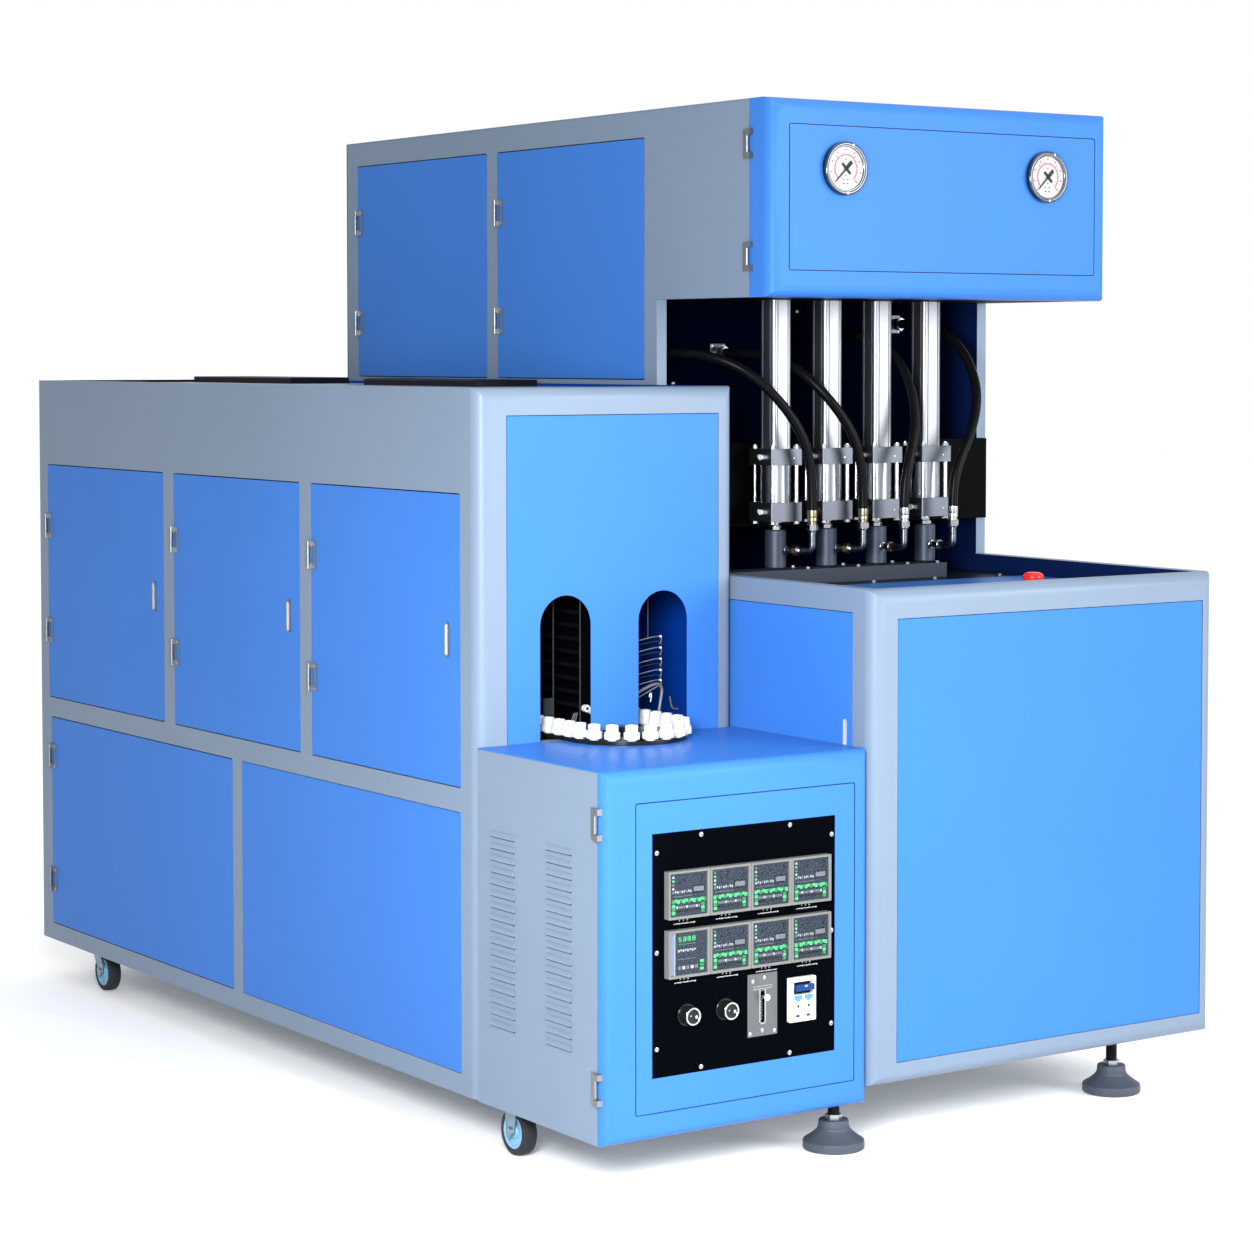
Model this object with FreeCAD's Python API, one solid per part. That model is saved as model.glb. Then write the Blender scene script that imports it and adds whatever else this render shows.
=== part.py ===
import FreeCAD, Part
import math
import os

# Semi-automatic stretch blow moulding machine: a preform preheater on casters, with a control box
# in front, joined side by side to a blow unit that stands on levelling feet.
# Millimetres. X runs to the right, Y to the back and Z up, and the floor is Z = 0.
# The sizes below are counted from the preheater's left front corner. The last step moves the whole
# machine so that its origin is in the middle of its footprint, on the floor.

V = FreeCAD.Vector

# ---------------------------------------------------------------- driving dimensions
# Preheater
OVEN_WIDTH = 620.0
OVEN_DEPTH = 2111.0
OVEN_BOTTOM = 98.0
OVEN_FLOOR = 122.0
OVEN_TOP = 1498.0
# Control box, in front of the preheater and as wide as it
CONTROL_DEPTH = 450.5
CONTROL_TOP = 795.6
# Blow unit: base, tower and head
UNIT_GAP = 0.5
BLOW_WIDTH = 916.9
BASE_FRONT = -458.0
BASE_BOTTOM = 128.0
BASE_TOP = 1106.0
TABLE_TOP = 1067.0
TOWER_FRONT = 284.6
TOWER_BACK = 1643.5
TOWER_TOP = 2083.5
HEAD_FRONT = -120.7
HEAD_BOTTOM = 1679.4
# Sheet metal and reveals
SHEET = 2.5
FRAME_WALL = 25.0
SKIRT = 4.0
DOOR_THICKNESS = 22.0
REVEAL = 2.0
DOOR_CORNER = 5.0
EDGE_RADIUS = 28.0
# Blow stations
STATIONS = 4
STATION_PITCH = 138.6
STATION_X = 873.5
STATION_Y = 200.0

BLOW_LEFT = OVEN_WIDTH + UNIT_GAP
BLOW_RIGHT = BLOW_LEFT + BLOW_WIDTH

# ---------------------------------------------------------------- openings and doors
# Each opening in a side wall is (front Y, rear Y, low Z, high Z), at the size of the seam.
OVEN_DOOR_LOW = 708.0
OVEN_DOOR_HIGH = 1290.0
OVEN_OPENINGS = {
    "oven_door_front": (64.5, 683.0, OVEN_DOOR_LOW, OVEN_DOOR_HIGH),
    "oven_door_middle": (733.0, 1349.0, OVEN_DOOR_LOW, OVEN_DOOR_HIGH),
    "oven_door_rear": (1402.0, OVEN_DEPTH - 48.0, OVEN_DOOR_LOW, OVEN_DOOR_HIGH),
}
LOWER_LOW = 140.0
LOWER_HIGH = 660.0
LOWER_DOOR_OPENING = (1056.0, OVEN_DEPTH - 59.0, LOWER_LOW, LOWER_HIGH)
LOWER_PANEL_OPENING = (64.0, 1011.0, LOWER_LOW, LOWER_HIGH)
TOWER_DOOR_LOW = OVEN_TOP + 10.0
TOWER_DOOR_HIGH = TOWER_TOP - 57.9
TOWER_OPENINGS = {
    "tower_door_front": (331.7, 932.7, TOWER_DOOR_LOW, TOWER_DOOR_HIGH),
    "tower_door_rear": (976.7, 1589.1, TOWER_DOOR_LOW, TOWER_DOOR_HIGH),
}
OVEN_HINGE_HEIGHTS = (877.0, 1137.0)
LOWER_HINGE_HEIGHTS = (251.0, 561.0)
TOWER_HINGE_HEIGHTS = tuple(TOWER_DOOR_LOW + share * (TOWER_DOOR_HIGH - TOWER_DOOR_LOW)
                            for share in (0.255, 0.7322))

# Arch panel in the front of the preheater
ARCH_PANEL_X = (68.0, 579.0)
ARCH_PANEL_TOP = 1443.0
ARCH_X = (205.6, 440.4)
ARCH_WIDTH = 120.0
ARCH_TOP = 1084.5

# Hinges: a leaf and pin on the frame, two eyes on the door
HINGE_HEIGHT = 60.0
HINGE_PIN_RADIUS = 2.5
HINGE_CLEARANCE = 0.05
HINGE_STANDOFF = 6.5
HINGE_EYE = 9.0
HINGE_EYE_HEIGHT = 12.0
HINGE_LEAF = 2.0
HINGE_LEAF_WIDTH = 13.0
HINGE_PLAY = 0.4

# Recessed pulls in the side doors
PULL_HEIGHT = 70.0
PULL_WIDTH = 18.0
PULL_PROUD = 3.0
PULL_RIM = 3.5
PULL_DEPTH = 12.0
PULL_FROM_EDGE = 49.0
PULL_Z = 999.0


# ---------------------------------------------------------------- small helpers
def block(x, y, z):
    """A box between three (low, high) pairs."""
    return Part.makeBox(x[1] - x[0], y[1] - y[0], z[1] - z[0], V(x[0], y[0], z[0]))


def bar(radius, start, end):
    """A round bar between two points."""
    way = V(*end) - V(*start)
    return Part.makeCylinder(radius, way.Length, V(*start), way)


def turned(profile, base, axis=V(0, 0, 1)):
    """A turned piece from (radius, height) points, standing at base along axis."""
    points = [V(r, 0, h) for r, h in profile]
    wire = Part.makePolygon(points + [points[0]])
    solid = Part.Face(wire).revolve(V(0, 0, 0), V(0, 0, 1), 360)
    solid.Placement = FreeCAD.Placement(V(*base), FreeCAD.Rotation(V(0, 0, 1), axis))
    return solid


def hexagon(across_flats, low, high, x, y):
    """A hexagonal prism standing on Z."""
    radius = across_flats / math.sqrt(3)
    corners = [V(x + radius * math.cos(math.radians(60 * k)),
                 y + radius * math.sin(math.radians(60 * k)), low) for k in range(7)]
    return Part.Face(Part.makePolygon(corners)).extrude(V(0, 0, high - low))


def edges_along(solid, direction, test):
    """The straight edges of a solid that run along direction and whose middle passes test."""
    found = []
    for edge in solid.Edges:
        way = edge.Vertexes[-1].Point - edge.Vertexes[0].Point
        if way.Length > 0 and abs(way.normalize().dot(direction)) > 0.999 and test(edge.CenterOfMass):
            found.append(edge)
    return found


def side_slab(x, y, z, corner):
    """A slab in the YZ plane with its four corners rounded."""
    slab = block(x, y, z)
    return slab.makeFillet(corner, edges_along(slab, V(1, 0, 0), lambda p: True))


def front_slab(x, y, z, corner):
    """A slab in the XZ plane with its four corners rounded."""
    slab = block(x, y, z)
    return slab.makeFillet(corner, edges_along(slab, V(0, 1, 0), lambda p: True))


def stadium(x, y, z, half_width):
    """An upright stadium in the YZ plane, from x[0] to x[1]."""
    low = bar(half_width, (x[0], y, z[0] + half_width), (x[1], y, z[0] + half_width))
    high = bar(half_width, (x[0], y, z[1] - half_width), (x[1], y, z[1] - half_width))
    middle = block(x, (y - half_width, y + half_width), (z[0] + half_width, z[1] - half_width))
    return middle.fuse([low, high]).removeSplitter()


def mitred_case(x, y, z, radius, bottom_too):
    """A block with rounded front edges that meet in mitres, as folded sheet does."""
    upright = block(x, y, z)
    upright = upright.makeFillet(
        radius, edges_along(upright, V(0, 0, 1), lambda p: abs(p.y - y[0]) < 0.01))
    level = block(x, y, z)
    level = level.makeFillet(radius, edges_along(
        level, V(1, 0, 0),
        lambda p: abs(p.y - y[0]) < 0.01 and (bottom_too or p.z > (z[0] + z[1]) / 2)))
    return upright.common(level)


def grown(pair, amount):
    """A (low, high) pair made larger at both ends."""
    return (pair[0] - amount, pair[1] + amount)


def together(solids):
    """Several solids that share one node."""
    return Part.makeCompound(solids)


# ---------------------------------------------------------------- hinges and side doors
def side_hinge(face_x, seam_y, z):
    """The fixed leaf, knuckle and pin of a hinge on a left-hand side wall."""
    low = z - HINGE_HEIGHT / 2
    high = z + HINGE_HEIGHT / 2
    pin_x = face_x - HINGE_STANDOFF
    knuckle = (low + HINGE_EYE_HEIGHT + HINGE_PLAY, high - HINGE_EYE_HEIGHT - HINGE_PLAY)
    half = HINGE_EYE / 2
    leaf = block((face_x - HINGE_LEAF, face_x),
                 (seam_y + REVEAL / 2, seam_y + HINGE_LEAF_WIDTH), (low, high))
    body = bar(half, (pin_x, seam_y, knuckle[0]), (pin_x, seam_y, knuckle[1]))
    web = block((pin_x, face_x - HINGE_LEAF), (seam_y + REVEAL / 2, seam_y + half), knuckle)
    pin = bar(HINGE_PIN_RADIUS, (pin_x, seam_y, low), (pin_x, seam_y, high))
    return leaf.fuse([body, web, pin]).removeSplitter()


def side_eyes(face_x, seam_y, z):
    """The two eyes of a hinge on the door, with the leaf that is screwed to it."""
    low = z - HINGE_HEIGHT / 2
    high = z + HINGE_HEIGHT / 2
    pin_x = face_x - HINGE_STANDOFF
    half = HINGE_EYE / 2
    near = seam_y - half - HINGE_PLAY
    leaf = block((face_x - HINGE_LEAF, face_x), (seam_y - 2 * HINGE_LEAF_WIDTH, near), (low, high))
    window = block((face_x - HINGE_LEAF, face_x), (seam_y - 1.45 * HINGE_LEAF_WIDTH, near),
                   (low + HINGE_EYE_HEIGHT, high - HINGE_EYE_HEIGHT))
    pieces = []
    for eye_z in ((low, low + HINGE_EYE_HEIGHT), (high - HINGE_EYE_HEIGHT, high)):
        eye = bar(half, (pin_x, seam_y, eye_z[0]), (pin_x, seam_y, eye_z[1]))
        arm = block((pin_x, face_x), (near - HINGE_LEAF, seam_y - HINGE_LEAF), eye_z)
        hole = bar(HINGE_PIN_RADIUS + HINGE_CLEARANCE, (pin_x, seam_y, eye_z[0]),
                   (pin_x, seam_y, eye_z[1]))
        pieces.append(eye.fuse(arm).cut(hole))
    return leaf.cut(window).fuse(pieces).removeSplitter()


def side_door(face_x, opening, hinge_heights, pull_z):
    """A double-skinned door in a left-hand side wall, hinged at its rear edge."""
    front, rear, low, high = opening
    door = side_slab((face_x, face_x + DOOR_THICKNESS), (front + REVEAL, rear - REVEAL),
                     (low + REVEAL, high - REVEAL), DOOR_CORNER)
    door = door.fuse([side_eyes(face_x, rear, z) for z in hinge_heights])
    if pull_z:
        pull_y = front + PULL_FROM_EDGE
        span = (pull_z - PULL_HEIGHT / 2, pull_z + PULL_HEIGHT / 2)
        rim = stadium((face_x - PULL_PROUD, face_x), pull_y, span, PULL_WIDTH / 2)
        cup = stadium((face_x - PULL_PROUD, face_x + PULL_DEPTH), pull_y,
                      grown(span, -PULL_RIM), PULL_WIDTH / 2 - PULL_RIM)
        door = door.fuse(rim).cut(cup)
    return door.removeSplitter()


# ---------------------------------------------------------------- preheater
LEFT_FACE = 0.0
DECK_THICKNESS = 15.0
PANEL_LAP = 10.0


def oven_frame():
    """The welded frame: left wall with its door openings, and the rounded surround of the front."""
    case = mitred_case((0, OVEN_WIDTH), (0, OVEN_DEPTH), (OVEN_BOTTOM, OVEN_TOP), EDGE_RADIUS, False)
    hollow = block((FRAME_WALL, OVEN_WIDTH + 1), (EDGE_RADIUS, OVEN_DEPTH + 1),
                   (OVEN_BOTTOM - 1, OVEN_TOP + 1))
    under = block((SKIRT, OVEN_WIDTH + 1), (EDGE_RADIUS, OVEN_DEPTH + 1), (OVEN_BOTTOM - 1, OVEN_FLOOR))
    frame = case.cut([hollow, under])
    cuts = [side_slab((-1, FRAME_WALL + 1), opening[0:2], opening[2:4], DOOR_CORNER)
            for opening in list(OVEN_OPENINGS.values()) + [LOWER_DOOR_OPENING, LOWER_PANEL_OPENING]]
    cuts.append(block(ARCH_PANEL_X, (-1, EDGE_RADIUS + 1), (CONTROL_TOP, ARCH_PANEL_TOP)))
    return frame.cut(cuts)


def oven_front_panel():
    """The sheet with two arches that the preforms pass through."""
    x = grown(ARCH_PANEL_X, -REVEAL / 2)
    z = (CONTROL_TOP, ARCH_PANEL_TOP - REVEAL / 2)
    skin = block(x, (0, SHEET), z)
    rim = block(x, (0, EDGE_RADIUS), z).cut(
        block(grown(x, -SHEET), (-1, EDGE_RADIUS + 1), (z[0] - 1, z[1] - SHEET)))
    panel = skin.fuse(rim)
    for centre in ARCH_X:
        half = ARCH_WIDTH / 2
        spring = ARCH_TOP - half
        arch = block((centre - half, centre + half), (-1, SHEET + 1), (z[0] - 1, spring))
        crown = bar(half, (centre, -1, spring), (centre, SHEET + 1, spring))
        panel = panel.cut([arch, crown])
    slot = block(ARCH_X, (-1, EDGE_RADIUS + 1), (z[0] - 1, z[0] + 2 * WHEEL_CLEARANCE + WHEEL_THICKNESS))
    return panel.cut(slot).removeSplitter()


def oven_rear_panels():
    """The right-hand sheet, and the rear sheet with a cable entry low down."""
    right = block((OVEN_WIDTH - SHEET, OVEN_WIDTH), (EDGE_RADIUS, OVEN_DEPTH - SHEET),
                  (OVEN_BOTTOM, OVEN_TOP))
    sheet = block((FRAME_WALL, OVEN_WIDTH), (OVEN_DEPTH - SHEET, OVEN_DEPTH), (OVEN_BOTTOM, OVEN_TOP))
    entry = bar(CABLE_ENTRY_RADIUS, (OVEN_WIDTH / 2, OVEN_DEPTH - 2 * SHEET, CABLE_ENTRY_Z),
                (OVEN_WIDTH / 2, OVEN_DEPTH + SHEET, CABLE_ENTRY_Z))
    return together([right, sheet.cut(entry)])


CABLE_ENTRY_RADIUS = 25.0
CABLE_ENTRY_Z = 240.0


def oven_deck():
    """The deck inside, level with the shelf, that the chain runs over."""
    return block((FRAME_WALL, OVEN_WIDTH - SHEET), (EDGE_RADIUS, OVEN_DEPTH - SHEET),
                 (CONTROL_TOP - DECK_THICKNESS, CONTROL_TOP))


TOP_RECESS = 6.0
VENT_HOOD_X = (400.0, 560.0)
VENT_HOOD_RISE = 9.0
VENT_HOOD_TOP = OVEN_TOP + VENT_HOOD_RISE
VENT_HOODS_Y = ((665.0, 1166.0), (OVEN_DEPTH - 584.0, OVEN_DEPTH - 56.0))
VENT_BRACKET = 104.0
VENT_BRACKET_RISE = 1.0
VENT_EDGE = 3.0
VENT_WIDTH = 12.0
VENT_PITCH = 30.0
VENT_MARGIN = 22.0


def vent_hood(y, base):
    """A low black hood over a vent, open below, with a row of slots in its top."""
    shell = block(VENT_HOOD_X, y, (base, VENT_HOOD_TOP))
    rim = [edge for way in (V(1, 0, 0), V(0, 1, 0))
           for edge in edges_along(shell, way, lambda p: p.z > VENT_HOOD_TOP - 1)]
    shell = shell.makeFillet(VENT_EDGE, rim)
    hollow = block(grown(VENT_HOOD_X, -SHEET), grown(y, -SHEET), (base - 1, VENT_HOOD_TOP - SHEET))
    slots = []
    for k in range(int((y[1] - y[0] - 2 * VENT_MARGIN) / VENT_PITCH)):
        start = y[0] + VENT_MARGIN + k * VENT_PITCH
        slots.append(block(grown(VENT_HOOD_X, -VENT_MARGIN), (start, start + VENT_WIDTH),
                           (VENT_HOOD_TOP - 2 * SHEET, VENT_HOOD_TOP + SHEET)))
    return shell.cut([hollow] + slots)


def oven_top_cover():
    """The top sheet, a little below the rim, with two vents under low hoods."""
    high = OVEN_TOP - TOP_RECESS
    cover = block((FRAME_WALL, OVEN_WIDTH - SHEET), (EDGE_RADIUS, OVEN_DEPTH - SHEET),
                  (high - SHEET, high))
    vents = [block(grown(VENT_HOOD_X, -VENT_MARGIN), grown(y, -VENT_MARGIN),
                   (high - 2 * SHEET, high + SHEET)) for y in VENT_HOODS_Y]
    hoods = [vent_hood(y, high) for y in VENT_HOODS_Y]
    rear = VENT_HOODS_Y[0][1]
    bracket = block(grown(VENT_HOOD_X, -VENT_MARGIN), (rear, rear + VENT_BRACKET / 4),
                    (high, VENT_HOOD_TOP + VENT_BRACKET_RISE))
    return cover.cut(vents).fuse(hoods + [bracket]).removeSplitter()


def lower_fixed_panel():
    """The fixed panel beside the lower door, with a flange behind the frame."""
    y = LOWER_PANEL_OPENING[0:2]
    z = LOWER_PANEL_OPENING[2:4]
    panel = side_slab((0, FRAME_WALL), grown(y, -REVEAL / 2), grown(z, -REVEAL / 2), DOOR_CORNER)
    return panel.fuse(block((FRAME_WALL, FRAME_WALL + SHEET), grown(y, PANEL_LAP), grown(z, PANEL_LAP)))


# ---------------------------------------------------------------- chain, holders and lamps
CHAIN_RADIUS = (ARCH_X[1] - ARCH_X[0]) / 2
CHAIN_CENTRE_X = (ARCH_X[0] + ARCH_X[1]) / 2
CHAIN_FRONT_Y = -38.0
CHAIN_REAR_Y = 1890.0
CHAIN_PITCH = 38.4
GUIDE_HALF_WIDTH = 15.0
GUIDE_HEIGHT = 9.0
GUIDE_OVERHANG = 14.0
HOLDER_RADIUS = 16.0
HOLDER_NECK_RADIUS = 12.5
HOLDER_COLLAR_LOW = 3.0
HOLDER_COLLAR = 14.0
HOLDER_HEIGHT = 31.0
HOLDER_STEM_RADIUS = 9.0
ARCH_HOLDER_COUNT = 5
WHEEL_RADIUS = 96.0
WHEEL_THICKNESS = 12.0
WHEEL_BOSS_RADIUS = 22.0
WHEEL_SHAFT_RADIUS = 10.0
WHEEL_SHAFT = 20.0
WHEEL_CLEARANCE = 1.0


def oval(z, radius, rear):
    """The area inside a chain line of that radius, from the front turn back to rear."""
    turn = bar(radius, (CHAIN_CENTRE_X, CHAIN_FRONT_Y, z[0]), (CHAIN_CENTRE_X, CHAIN_FRONT_Y, z[1]))
    back = bar(radius, (CHAIN_CENTRE_X, rear, z[0]), (CHAIN_CENTRE_X, rear, z[1]))
    straight = block((CHAIN_CENTRE_X - radius, CHAIN_CENTRE_X + radius), (CHAIN_FRONT_Y, rear), z)
    return straight.fuse([turn, back]).removeSplitter()


def chain_guide():
    """The black track under the chain: an oval loop with an open middle."""
    z = (CONTROL_TOP, CONTROL_TOP + GUIDE_HEIGHT)
    outer = oval(z, CHAIN_RADIUS + GUIDE_OVERHANG - HOLDER_RADIUS / 2, CHAIN_REAR_Y)
    inner = oval(grown(z, 1), CHAIN_RADIUS - GUIDE_HALF_WIDTH, CHAIN_REAR_Y)
    return outer.cut(inner)


def chain_point(distance):
    """A point of the chain line, counted from the middle of the front turn towards the left."""
    quarter = math.pi * CHAIN_RADIUS / 2
    side = -1 if distance < 0 else 1
    along = abs(distance)
    if along < quarter:
        angle = along / CHAIN_RADIUS
        return (CHAIN_CENTRE_X - side * CHAIN_RADIUS * math.sin(angle),
                CHAIN_FRONT_Y - CHAIN_RADIUS * math.cos(angle))
    return CHAIN_CENTRE_X - side * CHAIN_RADIUS, CHAIN_FRONT_Y + along - quarter


def preform_holders():
    """The holders that show: those round the front turn and the first ones inside each arch."""
    quarter = math.pi * CHAIN_RADIUS / 2
    reach = int(quarter / CHAIN_PITCH) + ARCH_HOLDER_COUNT
    low = CONTROL_TOP + GUIDE_HEIGHT
    profile = [(0, 0), (HOLDER_STEM_RADIUS, 0), (HOLDER_STEM_RADIUS, HOLDER_COLLAR_LOW),
               (HOLDER_RADIUS, HOLDER_COLLAR_LOW), (HOLDER_RADIUS, HOLDER_COLLAR_LOW + HOLDER_COLLAR),
               (HOLDER_NECK_RADIUS, HOLDER_COLLAR_LOW + HOLDER_COLLAR),
               (HOLDER_NECK_RADIUS, HOLDER_HEIGHT), (0, HOLDER_HEIGHT)]
    return together([turned(profile, (*chain_point((k + 0.5) * CHAIN_PITCH), low))
                     for k in range(-reach - 1, reach + 1)])


def turning_wheel():
    """The wheel that the chain turns round at the front, level with the holders' stems."""
    low = CONTROL_TOP + WHEEL_CLEARANCE
    wheel = bar(WHEEL_RADIUS, (CHAIN_CENTRE_X, CHAIN_FRONT_Y, low),
                (CHAIN_CENTRE_X, CHAIN_FRONT_Y, low + WHEEL_THICKNESS))
    boss = bar(WHEEL_BOSS_RADIUS, (CHAIN_CENTRE_X, CHAIN_FRONT_Y, low),
               (CHAIN_CENTRE_X, CHAIN_FRONT_Y, low + 2 * WHEEL_THICKNESS))
    shaft = bar(WHEEL_SHAFT_RADIUS, (CHAIN_CENTRE_X, CHAIN_FRONT_Y, low - WHEEL_SHAFT),
                (CHAIN_CENTRE_X, CHAIN_FRONT_Y, low))
    holes = []
    for k in range(6):
        angle = math.radians(60 * k)
        x = CHAIN_CENTRE_X + 0.62 * WHEEL_RADIUS * math.cos(angle)
        y = CHAIN_FRONT_Y + 0.62 * WHEEL_RADIUS * math.sin(angle)
        holes.append(bar(0.16 * WHEEL_RADIUS, (x, y, low - 1), (x, y, low + WHEEL_THICKNESS + 1)))
    return wheel.fuse([boss, shaft]).cut(holes).removeSplitter()


LAMP_ROWS = 9
LAMP_PITCH = 27.0
LAMP_RADIUS = 5.0
LAMP_FIRST_Z = 850.0
LAMP_SPAN_Y = (90.0, 1880.0)
LAMP_OFFSET = 26.0
REFLECTOR_HALF = 9.0
LAMP_STAND_Y = (60.0, OVEN_DEPTH - 206.0)
LAMP_STAND_DEPTH = 12.0


def lamp_bank():
    """A reflector wall between the two chain runs, with rows of infra-red tubes on both faces."""
    top = LAMP_FIRST_Z + LAMP_ROWS * LAMP_PITCH
    x = (CHAIN_CENTRE_X - REFLECTOR_HALF, CHAIN_CENTRE_X + REFLECTOR_HALF)
    wall = block(x, LAMP_STAND_Y, (CONTROL_TOP, top))
    stands = []
    for y in LAMP_STAND_Y:
        stands.append(block((CHAIN_CENTRE_X - 1.5 * LAMP_OFFSET, CHAIN_CENTRE_X + 1.5 * LAMP_OFFSET),
                            (y, y + LAMP_STAND_DEPTH), (CONTROL_TOP, top)))
    bank = wall.fuse(stands)
    tubes = []
    for side in (-1, 1):
        for row in range(LAMP_ROWS):
            z = LAMP_FIRST_Z + row * LAMP_PITCH
            x_tube = CHAIN_CENTRE_X + side * LAMP_OFFSET
            tubes.append(bar(LAMP_RADIUS, (x_tube, LAMP_STAND_Y[0] + LAMP_STAND_DEPTH, z),
                             (x_tube, LAMP_STAND_Y[1], z)))
    return together([bank.removeSplitter()] + tubes)


# ---------------------------------------------------------------- control box
CONTROL_BACK_GAP = 0.3
CONTROL_DOOR_DEPTH = 26.5
CONTROL_DOOR_GAP = 1.5
CONTROL_DOOR_RADIUS = 26.0
CONTROL_DOOR_FRONT = -CONTROL_DEPTH
CONTROL_DOOR_SEAM = CONTROL_DOOR_FRONT + CONTROL_DOOR_DEPTH
SHELF_THICKNESS = 3.0
CONTROL_INSET_X = (67.0, 582.0)
CONTROL_INSET_Z = (149.0, 734.0)
GROOVE = 2.0
CONTROL_HINGE_HEIGHTS = (205.0, 698.0)

LOUVRE_ROWS = 17
LOUVRE_PITCH = 23.1
LOUVRE_TOP = 630.0
LOUVRE_LENGTH = 88.5
LOUVRE_HEIGHT = 11.0
LOUVRE_PROUD = 5.0
LOUVRE_COLUMNS = (-93.0, -293.5)


def louvre(y, z):
    """One pressed louvre: a quarter-round hood, open below."""
    half = LOUVRE_LENGTH / 2
    points = [V(0, 0, z + LOUVRE_HEIGHT), V(0, 0, z), V(-LOUVRE_PROUD, 0, z)]
    back = V(-LOUVRE_PROUD * 0.86, 0, z + LOUVRE_HEIGHT * 0.55)
    edges = [Part.LineSegment(points[0], points[1]).toShape(),
             Part.LineSegment(points[1], points[2]).toShape(),
             Part.Arc(points[2], back, points[0]).toShape()]
    hood = Part.Face(Part.Wire(edges)).extrude(V(0, LOUVRE_LENGTH, 0))
    hood.translate(V(0, y - half, 0))
    return hood


def control_box():
    """The folded box behind the control door: sides and floor, with louvres in its left side."""
    y = (CONTROL_DOOR_SEAM, -CONTROL_BACK_GAP)
    z = (OVEN_BOTTOM, CONTROL_TOP - SHELF_THICKNESS)
    shell = block((0, OVEN_WIDTH), y, z).cut(
        block((SHEET, OVEN_WIDTH - SHEET), grown(y, 1), (OVEN_BOTTOM - 1, z[1] + 1)))
    floor = block((SHEET, OVEN_WIDTH - SHEET), y, (OVEN_FLOOR, OVEN_FLOOR + SHEET))
    flange = block((0, OVEN_WIDTH), (y[1] - FRAME_WALL, y[1]), z).cut(
        block((FRAME_WALL, OVEN_WIDTH - FRAME_WALL), grown(y, 1),
              (OVEN_FLOOR + FRAME_WALL, z[1] + 1)))
    flange = flange.cut(block(grown((0, OVEN_WIDTH), -SHEET), grown(y, 1), (OVEN_BOTTOM - 1, OVEN_FLOOR)))
    shell = shell.fuse([flange, floor])
    hoods = [louvre(column, LOUVRE_TOP - row * LOUVRE_PITCH)
             for column in LOUVRE_COLUMNS for row in range(LOUVRE_ROWS)]
    mouths = [block((-LOUVRE_PROUD + SHEET / 2, SHEET + 1),
                    (column - LOUVRE_LENGTH / 2 + SHEET, column + LOUVRE_LENGTH / 2 - SHEET),
                    (LOUVRE_TOP - row * LOUVRE_PITCH - 1,
                     LOUVRE_TOP - row * LOUVRE_PITCH + LOUVRE_HEIGHT / 3))
              for column in LOUVRE_COLUMNS for row in range(LOUVRE_ROWS)]
    return shell.fuse(hoods).cut(mouths).removeSplitter()


def control_shelf():
    """The shelf on the control box, with the hole that the turning wheel's shaft runs in."""
    shelf = block((0, OVEN_WIDTH), (CONTROL_DOOR_SEAM, -CONTROL_BACK_GAP),
                  (CONTROL_TOP - SHELF_THICKNESS, CONTROL_TOP))
    radius = WHEEL_SHAFT_RADIUS + SHAFT_CLEARANCE
    return shelf.cut(bar(radius, (CHAIN_CENTRE_X, CHAIN_FRONT_Y, CONTROL_TOP - 2 * SHELF_THICKNESS),
                         (CHAIN_CENTRE_X, CHAIN_FRONT_Y, CONTROL_TOP + SHELF_THICKNESS)))


def inset_groove(x, z, front):
    """The groove round an inset panel in a front face."""
    outer = front_slab(x, (front - 1, front + GROOVE), z, DOOR_CORNER)
    inner = front_slab(grown(x, -GROOVE), (front - 2, front + GROOVE + 1), grown(z, -GROOVE),
                       DOOR_CORNER - GROOVE)
    return outer.cut(inner)


def front_eyes(face_x, pin_y, z):
    """The door's half of a hinge at the left edge of a front door: two eyes on arms."""
    low = z - HINGE_HEIGHT / 2
    high = z + HINGE_HEIGHT / 2
    pin_x = face_x - HINGE_EYE / 2 - HINGE_PLAY
    half = HINGE_EYE / 2
    pieces = []
    for eye_z in ((low, low + HINGE_EYE_HEIGHT), (high - HINGE_EYE_HEIGHT, high)):
        eye = bar(half, (pin_x, pin_y, eye_z[0]), (pin_x, pin_y, eye_z[1]))
        arm = block((pin_x - half, face_x + HINGE_LEAF),
                    (pin_y - 1.6 * HINGE_EYE, pin_y - HINGE_LEAF), eye_z)
        hole = bar(HINGE_PIN_RADIUS + HINGE_CLEARANCE, (pin_x, pin_y, eye_z[0]),
                   (pin_x, pin_y, eye_z[1]))
        pieces.append(eye.fuse(arm).cut(hole))
    return pieces


def front_hinge(face_x, pin_y, z):
    """The fixed half of a hinge at the left edge of a front door, with its pin."""
    low = z - HINGE_HEIGHT / 2
    high = z + HINGE_HEIGHT / 2
    pin_x = face_x - HINGE_EYE / 2 - HINGE_PLAY
    half = HINGE_EYE / 2
    knuckle = (low + HINGE_EYE_HEIGHT + HINGE_PLAY, high - HINGE_EYE_HEIGHT - HINGE_PLAY)
    body = bar(half, (pin_x, pin_y, knuckle[0]), (pin_x, pin_y, knuckle[1]))
    leaf = block((face_x - HINGE_LEAF, face_x), (pin_y + half + HINGE_PLAY, pin_y + 2.2 * HINGE_EYE),
                 (low, high))
    web = block((face_x - HINGE_LEAF, face_x), (pin_y, pin_y + HINGE_EYE), knuckle)
    pin = bar(HINGE_PIN_RADIUS, (pin_x, pin_y, low), (pin_x, pin_y, high))
    return body.fuse([leaf, web, pin]).removeSplitter()


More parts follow.
